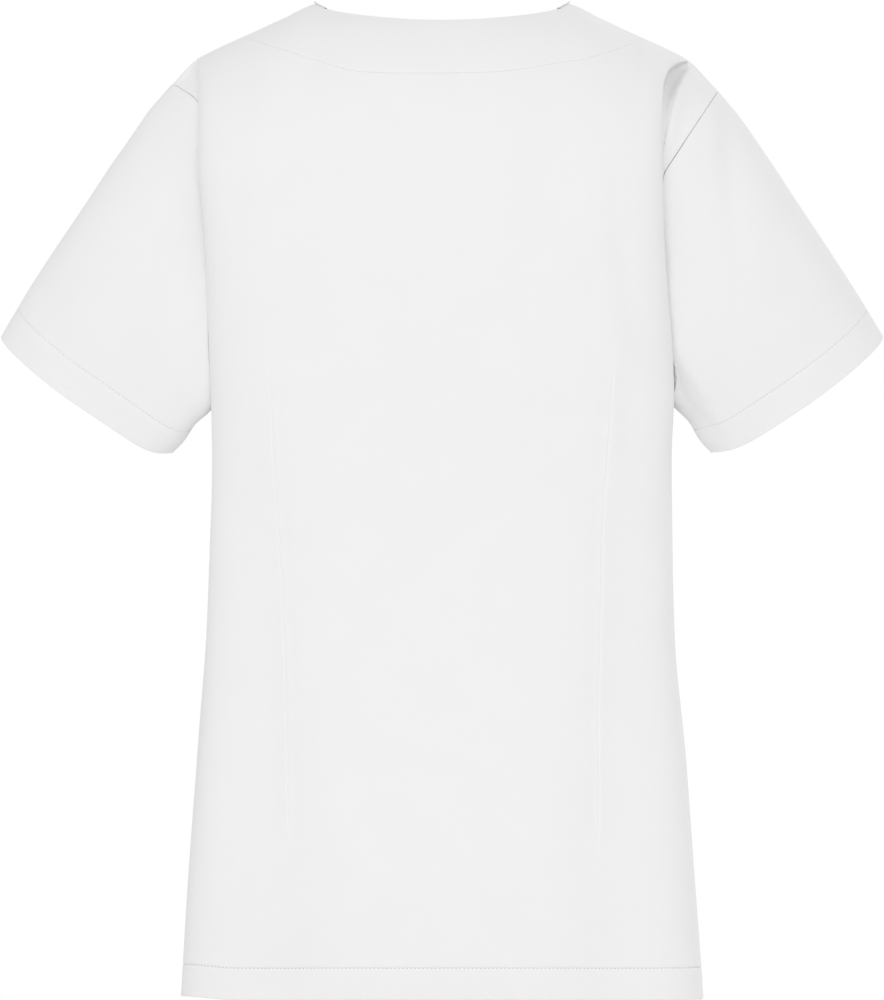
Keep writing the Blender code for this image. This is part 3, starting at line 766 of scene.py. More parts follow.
sleeves = {}
for side in (LEFT, RIGHT):
    form, panel_out = sleeve_form(side)
    sleeve = sheet_on(form, SLEEVE_HEM_DEPTH[side], 42, tube=True)
    sleeve["panel_out"] = panel_out
    inward = sleeve["out"] * (sleeve["at"] - sleeve["at"].mean(axis=1, keepdims=True))
    print("sleeve", side, sleeve["at"].shape, "faces out:", bool(inward.sum() > 0))
    sleeves[side] = sleeve

# %% [markdown]
# ## Creases
#
# Hung cloth is never even. It falls in long soft troughs where it is slack, and pulls sharp where it
# is held, as beside an armhole. A crease here is a short table: where it runs, seen from behind, how
# far it stands out (minus is in) and how wide it is, all in millimetres. The cloth is then moved
# along its own way out, so a crease stays a crease from every side. Creases die away at the seams,
# so that the pieces still meet there.


# %% What a crease does
def crease(sheet, *rows):
    """How far each point of a sheet is moved by a crease through rows of (x, z, height, width) in mm."""
    path = MM * np.array(rows, float)
    point = sheet["at"][..., [0, 2]]
    nearest = np.full(point.shape[:2], 1e3)
    moved = np.zeros(point.shape[:2])
    for (xa, za, ha, wa), (xb, zb, hb, wb) in zip(path[:-1], path[1:]):
        start, step = np.array([xa, za]), np.array([xb - xa, zb - za])
        share = np.clip(((point - start) @ step) / (step @ step), 0, 1)
        distance = np.linalg.norm(point - start - share[..., None] * step, axis=2)
        here = (ha + (hb - ha) * share) * bump(distance, wa + (wb - wa) * share)
        closer = distance < nearest
        moved = np.where(closer, here, moved)
        nearest = np.where(closer, distance, nearest)
    return moved


def creases(sheet, paths):
    return sum(crease(sheet, *path) for path in paths)


SHORTEST_WAVE, WAVE_STEP = 55, 23  # of the waver's five waves, in millimetres
RIPPLES = (7.3, 11.9, 19.0)  # the lengths of the puckers, in millimetres


def waver(sheet, size, seed):
    """The slow unevenness of cloth that hangs freely: a few long waves that never line up."""
    x, y, z = (sheet["at"][..., k] for k in range(3))
    moved = np.zeros(x.shape)
    for i in range(5):
        turn = seed + 2.4 * i
        wave = (SHORTEST_WAVE + WAVE_STEP * i) * MM
        run = x * math.cos(turn) + 0.45 * z * math.sin(turn) + 0.7 * y
        moved += np.sin(run * 2 * math.pi / wave + 1.7 * turn)
    return size * moved / 5


def puckers(sheet, reach, size, seed):
    """Small upright ripples that the hem's stitches draw into the cloth on both sides of them."""
    u = sheet["across"]
    ripple = sum(np.sin(u * 2 * math.pi / (w * MM) + seed * w) for w in RIPPLES) / 3
    return size * ripple * bump(sheet["up"] - sheet["hem"], reach)


def from_edges(sheet, sides=True):
    """How far each point is from the nearest seam."""
    far = sheet["up"][-1] - sheet["up"]
    if sides:
        u = sheet["across"]
        far = np.minimum(far, np.minimum(u - u[:, :1], u[:, -1:] - u))
    return far


# %% [markdown]
# ## The darts and the creases of the back
#
# Along each dart the cloth dips into a narrow groove and stands up again just outside it, where the
# stitched-away fold lies underneath. The deepest crease of this top hooks round the right shoulder
# and runs on down beside the armhole. Under it the cloth is loose, so a few soft troughs follow.

# %% The back's relief
DART_GROOVE, DART_GROOVE_WIDTH = 0.75 * MM, 0.6 * MM
# Beside the groove: how far the cloth stands out, how far outside the line, and how wide, in mm.
DART_SIDES = ((0.55, 2.2, 1.6), (0.5, 7, 6), (-0.5, -5, 5))
HEM_GROOVE, SLEEVE_GROOVE, FACING_GROOVE = 0.80 * MM, 0.55 * MM, 0.40 * MM  # the dips along the stitches
GROOVE_WIDTH = 0.5 * MM
PUCKER_REACH, SLEEVE_PUCKER_REACH = 9 * MM, 8 * MM
PUCKER, SLEEVE_PUCKER = 0.22 * MM, 0.20 * MM
WAVER, SLEEVE_WAVER = 0.5 * MM, 0.45 * MM
QUIET_EDGE, SLEEVE_QUIET_EDGE = 14 * MM, 12 * MM  # nearer than this to a seam the creases die away


def dart_relief(sheet):
    height = sheet["at"][..., 2]
    strength = plateau(height, -0.640, -0.585, -0.285, -0.255)
    moved = np.zeros(height.shape)
    for side, name in SIDE_NAME.items():
        line = read(DART, name, height)
        outside = side * sheet["at"][..., 0] - line
        outside = np.where(sheet["at"][..., 1] > 0, outside * 1.15, 1.0)
        moved -= DART_GROOVE * bump(outside, DART_GROOVE_WIDTH) * (0.25 + 0.75 * strength)
        for stands, place, width in DART_SIDES:
            moved += stands * MM * bump(outside - place * MM, width * MM)
    on_line = (height > DART["height"][0]) & (height < DART["height"][-1])
    ends = plateau(height, DART["height"][0], -0.612, -0.268, DART["height"][-1])
    return moved * np.clip(0.25 + strength, 0, 1) * ends * on_line


def stitch_groove(sheet, row, size):
    """The dip along one row of stitches."""
    return -size * bump(sheet["up"] - sheet["up"][row], GROOVE_WIDTH)


def facing_groove(sheet, held):
    """The dip along the stitches of a facing, where it is held by them."""
    return np.where(held, stitch_groove(sheet, sheet["facing_row"], FACING_GROOVE), 0)


BACK_CREASES = [
    # the hook over the right shoulder and the trough beside the armhole
    [(-184, -45, 0, 3), (-178, -45, -4.5, 3.4), (-173.5, -49, -8.5, 4), (-169.5, -60, -9, 3.6),
     (-167, -79, -5.8, 2.9), (-166.5, -124, -2.1, 3), (-166, -155, -0.9, 3), (-166, -190, 0, 4)],
    [(-160, -36, 0, 8), (-155, -60, 1.2, 9), (-153, -95, 1.3, 10), (-152, -140, 0.6, 10),
     (-152, -175, 0, 10)],
    # soft upright troughs below it and outside the right dart
    [(-124, -105, 0, 9), (-128, -138, -1.3, 9), (-137, -200, -1.5, 9), (-146, -257, -0.9, 9),
     (-150, -290, 0, 9)],
    [(-136, -255, 0, 8), (-138, -290, -1.0, 9), (-142, -345, -1.0, 9), (-144, -385, 0, 9)],
    [(-112, -150, 0, 9), (-118, -200, 0.8, 10), (-126, -255, 0.6, 10), (-130, -290, 0, 9)],
    # their quieter likes on the left
    [(150, -70, 0, 9), (152, -110, -0.9, 10), (150, -170, -1.0, 10), (147, -230, -0.6, 10),
     (150, -280, 0, 9)],
    [(138, -300, 0, 9), (144, -350, -0.8, 10), (148, -400, -0.6, 9), (150, -440, 0, 9)],
    # where the waist lets go, the skirt of the back swells into long soft waves
    [(130, -330, 0, 14), (133, -420, -3.5, 24), (133, -520, -8, 34), (128, -620, -9, 38),
     (132, -718, -9, 38)],
    [(-130, -350, 0, 14), (-133, -430, -3, 24), (-131, -520, -7, 34), (-127, -620, -8, 38),
     (-131, -718, -8, 38)],
    [(-150, -470, 0, 12), (-152, -540, -0.9, 14), (-150, -640, -1.0, 15), (-148, -710, -0.6, 14)],
    [(148, -480, 0, 12), (154, -560, -0.8, 14), (152, -650, -1.0, 15), (150, -712, -0.7, 14)],
    [(-62, -520, 0, 16), (-66, -600, -0.6, 18), (-60, -700, -0.7, 18)],
    [(40, -540, 0, 16), (44, -620, -0.5, 18), (38, -705, -0.6, 18)],
    # the pull lines from the neck's corners to the shoulder blades
    [(84, -14, 0, 7), (100, -50, -0.7, 9), (118, -95, -0.5, 10), (128, -130, 0, 10)],
    [(-84, -14, 0, 7), (-102, -52, -0.6, 9), (-121, -98, -0.6, 10), (-130, -135, 0, 10)],
]

back_relief = dart_relief(back) + waver(back, WAVER, 1.0) + creases(back, BACK_CREASES)
back_relief += puckers(back, PUCKER_REACH, PUCKER, 0.7)
back_relief *= ramp(from_edges(back), 0, QUIET_EDGE)
held = (np.abs(back["at"][..., 0]) < FACING_AT_SHOULDER) & (back["at"][..., 2] > FACING_LOWEST)
back_relief += stitch_groove(back, HEM_STITCH, HEM_GROOVE)
back_relief += facing_groove(back, held)
print("back relief, mm:", [round(1000 * float(end), 2) for end in (back_relief.min(), back_relief.max())])

# %% [markdown]
# ## The front's and the sleeves' relief
#
# The photograph hides the front, so it gets the quiet creases that such a front has: from the bust
# towards the armholes and the sides, from the point of the V, and down the skirt. The sleeves have
# one trough each under the shoulder, and soft rings where the upper arm would push them out.

# %% The front's and the sleeves' relief
FRONT_CREASES = [
    # from the bust towards the armholes, and down from the point of the V
    [(-118, -120, 0, 8), (-134, -165, -2.5, 9), (-146, -215, -2.2, 9), (-150, -255, 0, 8)],
    [(116, -118, 0, 8), (132, -170, -2.2, 9), (144, -222, -2.3, 9), (149, -262, 0, 8)],
    [(0, -156, 0, 6), (-8, -190, -1.3, 9), (-14, -240, -0.9, 11), (-16, -290, 0, 10)],
    # from the neck's corners, and at the waist
    [(-96, -60, 0, 8), (-112, -100, -1.4, 9), (-126, -140, 0, 9)],
    [(98, -62, 0, 8), (113, -104, -1.3, 9), (125, -144, 0, 9)],
    [(-132, -300, 0, 10), (-138, -370, -2, 11), (-142, -440, -1.8, 12), (-146, -500, 0, 12)],
    [(128, -310, 0, 10), (136, -380, -2.2, 11), (141, -450, -1.4, 12), (145, -505, 0, 12)],
    # the long soft waves of the skirt
    [(-70, -430, 0, 14), (-76, -520, -1.8, 16), (-72, -620, -2, 17), (-70, -708, -1.3, 16)],
    [(66, -440, 0, 14), (72, -530, -1.6, 16), (70, -630, -1.8, 17), (66, -706, -1.4, 16)],
    [(6, -480, 0, 16), (2, -570, -1.1, 18), (4, -700, -1.1, 18)],
    [(-150, -520, 0, 12), (-154, -600, -1.4, 14), (-152, -700, -1.4, 14)],
    [(152, -530, 0, 12), (156, -610, -1.3, 14), (153, -705, -1.4, 14)],
]

front_relief = waver(front, WAVER, 2.3) + creases(front, FRONT_CREASES)
front_relief += puckers(front, PUCKER_REACH, PUCKER, 1.9)
front_relief *= ramp(from_edges(front), 0, QUIET_EDGE)
front_relief += stitch_groove(front, HEM_STITCH, HEM_GROOVE)
front_relief += facing_groove(front, np.abs(front["at"][-1, :, 0]) < FACING_AT_SHOULDER)

SLEEVE_BACK_CREASES = {
    RIGHT: [
        # one trough under the shoulder, and the pocket that the underarm falls into
        [(-208, -68, 0, 5), (-211, -85, -2.0, 7), (-214, -130, -2.4, 8), (-216, -170, -1.2, 8),
         (-220, -200, 0, 8)],
        [(-171, -258, 0, 5), (-172.5, -272, -5, 6), (-174.5, -285, -8, 7), (-178, -295, -7, 7),
         (-186, -304, -4.5, 7.5), (-195, -313, -2.5, 7.5), (-204, -321, -1.2, 7), (-209, -326, 0, 6)],
        [(-180, -272, 0, 3), (-184, -283, -2.5, 3.5), (-188, -292, -2.5, 3.5), (-193, -301, 0, 4)],
        [(-236, -110, 0, 9), (-238, -150, 0.8, 11), (-234, -210, 0.6, 11), (-232, -250, 0, 10)],
    ],
    LEFT: [
        [(226, -84, 0, 8), (217, -98, -1.3, 10), (209, -118, -0.6, 10), (203, -140, 0, 9)],
        [(281, -172, 0, 7), (292, -190, -2, 8), (300, -207, -1.6, 8), (306, -222, 0, 7)],
        [(222, -72, 0, 6), (229, -86, -1.6, 7), (238, -104, -1.8, 7), (246, -118, 0, 7)],
        [(196, -130, 0, 8), (194, -180, 0.8, 9), (200, -230, 0.6, 10), (206, -270, 0, 10)],
    ],
}
# Both sleeves have these in front, mirrored.
SLEEVE_FRONT_CREASES = [
    [(206, -80, 0, 7), (214, -120, -1.6, 9), (214, -170, -1.0, 9), (222, -210, 0, 9)],
    [(236, -130, 0, 9), (250, -180, -0.8, 10), (254, -230, 0, 10)],
]


def sleeve_creases(sleeve, side):
    """The creases of a sleeve, those behind kept off its front and the other way round."""
    behind = ramp(sleeve["at"][..., 1], -0.012, 0.012)
    in_front = [[(side * x, *rest) for x, *rest in path] for path in SLEEVE_FRONT_CREASES]
    return behind * creases(sleeve, SLEEVE_BACK_CREASES[side]) + (1 - behind) * creases(sleeve, in_front)


UNDERARM_SEAM, UNDERARM_SEAM_WIDTH = 0.5 * MM, 0.8 * MM
sleeve_relief = {}
for side in (LEFT, RIGHT):
    sleeve = sleeves[side]
    moved = waver(sleeve, SLEEVE_WAVER, 3.1 + side) + sleeve_creases(sleeve, side)
    moved += puckers(sleeve, SLEEVE_PUCKER_REACH, SLEEVE_PUCKER, 2.5)
    moved *= ramp(from_edges(sleeve, sides=False), 0, SLEEVE_QUIET_EDGE)
    moved += stitch_groove(sleeve, HEM_STITCH, SLEEVE_GROOVE)
    # the sleeve's own seam, along the underarm
    u = sleeve["across"]
    moved -= UNDERARM_SEAM * bump(np.minimum(u - u[:, :1], u[:, -1:] - u), UNDERARM_SEAM_WIDTH)
    moved[:, 0] = moved[:, -1] = (moved[:, 0] + moved[:, -1]) / 2
    sleeve_relief[side] = moved
print("deepest crease of each sleeve, mm:", [round(1000 * float(m.min()), 2) for m in sleeve_relief.values()])

# %% [markdown]
# ## Turned edges
#
# No edge of real cloth is raw. At a seam it turns inwards to its allowance, which leaves the thin
# dark line that the eye reads as a seam. At a hem it is folded up inside and stitched. So every
# sewn edge gets a small rounding and a short flange that goes in, and every hem a second layer
# that runs back up to its row of stitches. Two edges that are sewn together turn the same way.

# %% Turn the edges and the hems
EDGE_DIP = MM * np.array([0.0, 0.06, 0.32, 0.75])
FLANGE = MM * np.array([1.6, 2.6])
NECK_FLANGE = MM * np.array([0.95, 1.1])
HEM_LAYER = 1.25 * MM  # from the cloth to the layer inside it
HEM_DRAWN_IN, FOLD_LOWER, FOLD_UP = 0.25 * MM, 0.1 * MM, 0.4 * MM  # the rounding of the hem's fold


def turned(sheet, relief, way, is_panel):
    """The sheet's points with its relief, its turned seam edges and its turned-up hem."""
    at, out = sheet["at"], sheet["out"]
    rows, cols = at.shape[:2]
    dip = np.zeros((rows, cols))
    dip[-4:] = EDGE_DIP[:, None]
    if is_panel:
        dip[:, -4:] = np.maximum(dip[:, -4:], EDGE_DIP)
        dip[:, :4] = np.maximum(dip[:, :4], EDGE_DIP[::-1])
    moved = at + out * relief[..., None] - way * dip[..., None]
    across, up = sheet["across"], sheet["up"]
    deep = FLANGE[:, None, None] - EDGE_DIP[-1]
    if is_panel:
        first = [moved[:, :1] - way[:, :1] * d for d in deep[::-1]]
        last = [moved[:, -1:] - way[:, -1:] * d for d in deep]
        moved = np.concatenate([*first, moved, *last], axis=1)
        wider = [0, 0, *range(cols), -1, -1]
        across, up, way, out = (values[:, wider] for values in (across, up, way, out))
        across[:, :2] -= FLANGE[::-1]
        across[:, -2:] += FLANGE
    neck = (np.abs(moved[-1, :, 0]) < NECK_HALF_WIDTH - 1e-4) & is_panel
    edge = moved[-1:]
    for at_neck, at_seam in zip(NECK_FLANGE, FLANGE):
        down = np.where(neck, at_neck, at_seam) - EDGE_DIP[-1]
        moved = np.concatenate([moved, edge - way[-1:] * down[:, None]])
    across = np.concatenate([across, across[-1:], across[-1:]])
    up = np.concatenate([up, up[-1:] + FLANGE[0], up[-1:] + FLANGE[1]])
    # the rows of the layer inside, from its edge down
    folded = [HEM_STITCH, *range(len(BELOW_STITCHES) - 1, 1, -1)]
    layer = moved[folded] - out[folded] * HEM_LAYER
    bottom = moved[0] - out[0] * HEM_LAYER / 2 - [0, 0, FOLD_LOWER]
    moved[0] -= out[0] * HEM_DRAWN_IN
    moved = np.concatenate([layer, [bottom], moved])
    across = np.concatenate([across[:1]] * (len(layer) + 1) + [across])
    up = np.concatenate([-up[folded], up[:1] - FOLD_UP, up])
    return moved, across, up


# %% Edges that are sewn together turn the same way
def is_back(sheet):
    return sheet["at"][0, sheet["at"].shape[1] // 2, 1] > 0


def seam_ways(sheet, is_panel):
    """Each point's way out, evened at the sewn edges so that two pieces turn in together."""
    way = sheet["out"].copy()
    if not is_panel:
        way[-4:] = seam_way(sheet["out"][-1], sheet["panel_out"])
        way[-4:, 0] = way[-4:, -1] = (way[-1, 0] + way[-1, -1]) / 2
        return way
    shoulder = np.abs(sheet["at"][-1, :, 0]) > NECK_HALF_WIDTH - 1e-4
    way[-4:, shoulder] = unit(sheet["out"][-1, shoulder] * [1, 0, 1])
    for edge, near in ((0, slice(0, 4)), (-1, slice(-4, None))):
        side = LEFT if sheet["at"][0, edge, 0] > 0 else RIGHT
        low = sheet["at"][:, edge, 2] < UNDERARM_HEIGHT - 1e-6
        way[low, near] = unit(sheet["out"][low, edge] * [1, 0, 1])[:, None]
        ring = sleeves[side]
        ways = seam_way(ring["out"][-1], ring["panel_out"])
        ways = ways if side == LEFT else ways[::-1]
        # from the shoulder's tip down
        ways = ways[SLEEVE_HALF - 1 :] if is_back(sheet) else ways[SLEEVE_HALF - 1 :: -1]
        down = along(sheet["at"][~low, edge][::-1])
        met = read_along(down / down[-1], np.linspace(0, 1, SLEEVE_HALF), ways)[::-1]
        way[~low, near] = unit(met)[:, None]
    return way


def part(sheet):
    """Leaves a hair's breadth between sewn edges, so that no two faces coincide."""
    facing = 1 if is_back(sheet) else -1
    shoulder = np.abs(sheet["at"][-1, :, 0]) > NECK_HALF_WIDTH - 1e-4
    sheet["at"][-1, shoulder, 1] += facing * SEAM_GAP / 2
    low = sheet["at"][:, 0, 2] < UNDERARM_HEIGHT + 1e-6
    for edge in (0, -1):
        sheet["at"][low, edge, 1] += facing * SEAM_GAP / 2


panels = {"back": (back, back_relief), "front": (front, front_relief)}
laid = {}
for name, (sheet, relief) in panels.items():
    way = seam_ways(sheet, True)
    part(sheet)
    laid[name] = turned(sheet, relief, way, True)
for side in (LEFT, RIGHT):
    laid[side] = turned(sleeves[side], sleeve_relief[side], seam_ways(sleeves[side], False), False)

# %% [markdown]
# ## Cutting the cloth
#
# In Blender a piece of cloth starts as a flat grid, just as it starts on the cutter's table. Here
# the grid gets as many squares as the sheet has, its points are pulled onto the form, and its UV
# map keeps the flat place of each point in metres, so the weave runs straight up and down every
# piece. Solidify gives it the thickness of the cloth, inwards.

# %% Cut one piece
CLOTH_THICKNESS = 0.55 * MM


def deselect_all():
    if bpy.context.object and bpy.context.object.mode != "OBJECT":
        bpy.ops.object.mode_set(mode="OBJECT")
    bpy.ops.object.select_all(action="DESELECT")


def cut_piece(name, at, across, up, tube=False):
    """A cloth piece from a grid of points, with its weave's directions in its UV map."""
    rows, cols = at.shape[:2]
    deselect_all()
    bpy.ops.mesh.primitive_grid_add(x_subdivisions=cols - 1, y_subdivisions=rows - 1, size=1)
    piece = bpy.context.object
    piece.name = piece.data.name = name
    mesh = piece.data
    mesh.vertices.foreach_set("co", np.ascontiguousarray(at, np.float32).reshape(-1))
    corner = np.empty(len(mesh.loops), np.int32)
    mesh.loops.foreach_get("vertex_index", corner)
    flat = np.stack([across, up], axis=-1).reshape(-1, 2)[corner]
    mesh.uv_layers[0].data.foreach_set("uv", flat.astype(np.float32).reshape(-1))
    mesh.update()
    if tube:
        bpy.ops.object.mode_set(mode="EDIT")
        bpy.ops.mesh.select_all(action="SELECT")
        bpy.ops.mesh.remove_doubles(threshold=1e-5)
        bpy.ops.object.mode_set(mode="OBJECT")
    bpy.ops.object.shade_smooth()
    thick = piece.modifiers.new("cloth", "SOLIDIFY")
    thick.thickness, thick.offset = CLOTH_THICKNESS, -1
    bpy.ops.object.modifier_apply(modifier=thick.name)
    triangles = sum(len(face.vertices) - 2 for face in mesh.polygons)
    wide, long = float((across[:, -1] - across[:, 0]).max()), float((up[-1] - up[0]).max())
    print(f"{name}: {triangles} triangles, {1000 * wide:.0f} x {1000 * long:.0f} mm laid flat")
    return piece


back_cloth = cut_piece("back_cloth", *laid["back"])
front_cloth = cut_piece("front_cloth", *laid["front"])
left_sleeve = cut_piece("left_sleeve_cloth", *laid[LEFT], tube=True)
right_sleeve = cut_piece("right_sleeve_cloth", *laid[RIGHT], tube=True)

# %% [markdown]
# ## The facings
#
# A facing is a shaped strip inside a neckline: it finishes the edge, and its own outer edge is
# stitched through to the outside, which is the curved line seen across the back. Both facings lie
# against their panels from the inside, and meet at the shoulder seams.

# %% Facings
FACING_DEPTH = 2.3 * MM  # from the outside of the panel, inside the turned neckline
# Its rows: close together at its own edge and under the neckline, and even between.
ROWS_AT_EDGE, ROWS_AT_NECK = MM * np.array([0, 0.4]), MM * np.array([0.9, 0.5])
EVEN_FROM, EVEN_TO, EVEN_ROWS = 3 * MM, 1.6 * MM, 15


def facing_cloth(name, sheet):
    """Walks down each column from the neckline as far as the facing reaches."""
    top_out = np.abs(sheet["at"][-1, :, 0])
    used = np.flatnonzero(top_out < FACING_AT_SHOULDER)
    at, up = [], []
    for c in used:
        length = along(sheet["at"][:, c])
        long = sheet["stitched"][c] + FACING_MARGIN
        even = np.linspace(long - EVEN_FROM, EVEN_TO, EVEN_ROWS)
        down = np.concatenate([long - ROWS_AT_EDGE, even, ROWS_AT_NECK])
        points = places(np.hstack([sheet["at"][:, c], sheet["out"][:, c]]), length[-1] - down)
        at.append(points[:, :3] - points[:, 3:] * FACING_DEPTH)
        up.append(-down)
    at = np.array(at).transpose(1, 0, 2)
    return cut_piece(name, at, np.repeat(sheet["across"][-1:, used], len(at), axis=0), np.array(up).T)


back_facing = facing_cloth("back_facing_cloth", back)
front_facing = facing_cloth("front_facing_cloth", front)

# %% [markdown]
# ## The stitches
#
# A lockstitch machine leaves a row of short threads that lie in a groove of the cloth, with a small
# needle hole between each and the next, which lies in shade. One stitch is modelled as a slim
# six-sided bead, and copied along every sewn line. The shade of a hole is painted: a flat mid-grey
# six-sided patch just above the cloth, longest at the hem, where the thread is drawn tightest and
# the row shows most.

# %% One stitch, and a row of them
STITCH_LENGTH, STITCH_STEP, STITCH_WIDTH = 2.2 * MM, 3.0 * MM, 0.42 * MM
# The needle holes' shade is painted: flat mid-grey patches of these sizes, lifted clear of the groove.
PAINTED_SHADE_WIDTH = 0.5 * MM
HEM_PAINTED_SHADE, FACING_PAINTED_SHADE, SLEEVE_PAINTED_SHADE = 0.9 * MM, 0.3 * MM, {LEFT: 0.35 * MM, RIGHT: 0.4 * MM}  # their lengths
STITCH_LIFT, PAINTED_SHADE_LIFT = 0.06 * MM, 0.12 * MM  # how far above the groove's bottom they lie
PAINTED_SHADE_TURNS = np.linspace(0, 2 * math.pi, 7)[:-1]
PAINTED_SHADE_POINTS = np.stack([np.cos(PAINTED_SHADE_TURNS), np.sin(PAINTED_SHADE_TURNS), 0 * PAINTED_SHADE_TURNS], axis=1)

deselect_all()
bpy.ops.mesh.primitive_uv_sphere_add(segments=6, ring_count=4, radius=1)
one_stitch = bpy.context.object
bpy.ops.object.mode_set(mode="EDIT")
bpy.ops.mesh.select_all(action="SELECT")
bpy.ops.transform.rotate(value=math.pi / 2, orient_axis="Y", center_override=(0, 0, 0))
bpy.ops.transform.resize(value=(STITCH_LENGTH / 2, STITCH_WIDTH / 2, STITCH_WIDTH / 2))
bpy.ops.object.mode_set(mode="OBJECT")
STITCH_POINTS = np.array([vertex.co for vertex in one_stitch.data.vertices])
# Blender hands over a sphere's faces in another order each time, so they are sorted.
STITCH_FACES = sorted(list(face.vertices) for face in one_stitch.data.polygons)
bpy.data.objects.remove(one_stitch)


# %% Rows of stitches
def sewn(name, *lines):
    """One piece of thread work: stitches, with flat grey patches of painted shade for the needle holes,
    along lines of points, each with the cloth's way out and the length of its patches."""
    points, faces, painted_shade_faces = [], [], []

    def add(shape, shape_faces, where, axes, hole):
        start = sum(len(made) for made in points)
        faces.extend([i + start for i in face] for face in shape_faces)
        painted_shade_faces.extend([hole] * len(shape_faces))
        points.append(where + shape @ axes)

    for line, out, painted_shade_length in lines:
        length = along(line)
        count = int(length[-1] / STITCH_STEP)
        step = length[-1] / count
        for at in (np.arange(count) + 0.5) * step:
            a, b, c = places(line, [at - STITCH_LENGTH / 2, at + STITCH_LENGTH / 2, at + step / 2])
            forward = (b - a) / np.linalg.norm(b - a)
            way = read_along([at], length, out)[0]
            aside = np.cross(way, forward)
            aside /= np.linalg.norm(aside)
            up = np.cross(forward, aside)
            axes = np.array([forward, aside, up])
            add(STITCH_POINTS, STITCH_FACES, (a + b) / 2 + up * STITCH_LIFT, axes, 0)
            # a flat mid-grey patch of painted shade, halfway to the next stitch, where the needle hole's
            # shadow would be
            size = np.array([painted_shade_length / 2, PAINTED_SHADE_WIDTH / 2, 1])
            add(PAINTED_SHADE_POINTS * size, [list(range(len(PAINTED_SHADE_POINTS)))], c + up * PAINTED_SHADE_LIFT, axes, 1)
    mesh = bpy.data.meshes.new(name)
    mesh.from_pydata(np.concatenate(points).tolist(), [], faces)
    mesh.polygons.foreach_set("material_index", painted_shade_faces)
    piece = bpy.data.objects.new(name, mesh)
    bpy.context.scene.collection.objects.link(piece)
    deselect_all()
    piece.select_set(True)
    bpy.context.view_layer.objects.active = piece
    bpy.ops.object.shade_smooth()
    print(f"{name}: {len(points) // 2} stitches")
    return piece


def row_line(sheet, relief, row, hole, columns=slice(None)):
    return (sheet["at"] + sheet["out"] * relief[..., None])[row, columns], sheet["out"][row, columns], hole


def facing_columns(sheet):
    inside = np.flatnonzero(np.abs(sheet["at"][-1, :, 0]) < FACING_AT_SHOULDER - 1 * MM)
    return slice(inside[0], inside[-1] + 1)


def panel_stitches(name, sheet, relief):
    hem = row_line(sheet, relief, HEM_STITCH, HEM_PAINTED_SHADE, slice(4, -4))
    return sewn(name, hem, row_line(sheet, relief, sheet["facing_row"], FACING_PAINTED_SHADE, facing_columns(sheet)))


def sleeve_stitches(name, side):
    return sewn(name, row_line(sleeves[side], sleeve_relief[side], HEM_STITCH, SLEEVE_PAINTED_SHADE[side]))


back_stitches = panel_stitches("back_stitches", back, back_relief)
front_stitches = panel_stitches("front_stitches", front, front_relief)
left_stitches = sleeve_stitches("left_sleeve_stitches", LEFT)
right_stitches = sleeve_stitches("right_sleeve_stitches", RIGHT)

# %% [markdown]
# ## White poly-cotton twill
#
# The cloth is an optic white work twill, about 200 g a square metre: polyester and cotton threads,
# woven so that fine ridges climb the cloth at a slant. It is matt, a little fuzzy at grazing
# angles, and never quite even, because the threads vary. The ridges are really about half a
# millimetre apart, which is finer than this picture's pixels, so they are drawn at 1.3 mm and kept
# very low. All of it reads the UV map in metres, so it follows the cut of each piece.


# %% Materials
def colour(hexadecimal):
    """An sRGB hex colour as the linear values that Blender works in."""
    parts = [int(hexadecimal[i : i + 2], 16) / 255 for i in (0, 2, 4)]
    return (*[v / 12.92 if v <= 0.04045 else ((v + 0.055) / 1.055) ** 2.4 for v in parts], 1)


def node(owner, kind, settings=None, **links):
    """Adds a node with its settings. A link's name is an input, and its value a socket or a value."""
    made = owner.node_tree.nodes.new(kind)
    for name, value in (settings or {}).items():
        setattr(made, name, value)
    for name, value in links.items():
        socket = made.inputs[int(name[1:]) if name[1:].isdigit() else name.replace("_", " ")]
        if isinstance(value, bpy.types.NodeSocket):
            owner.node_tree.links.new(value, socket)
        else:
            socket.default_value = value
    return made


def new_material(name):
    material = bpy.data.materials.new(name)
    material.use_nodes = True
    material.node_tree.nodes.clear()
    return material


def surfaced(material, **values):
    """The finished material, with these values on its Principled surface."""
    surface = node(material, "ShaderNodeBsdfPrincipled", **values)
    output = node(material, "ShaderNodeOutputMaterial")
    material.node_tree.links.new(surface.outputs[0], output.inputs["Surface"])
    return material


# %% The twill
TWILL_PITCH = 1.3 * MM
WAVES_IN_ONE = 3.18  # the wave texture's bands in one unit, at scale 1
TWILL_SLANT = math.radians(63)


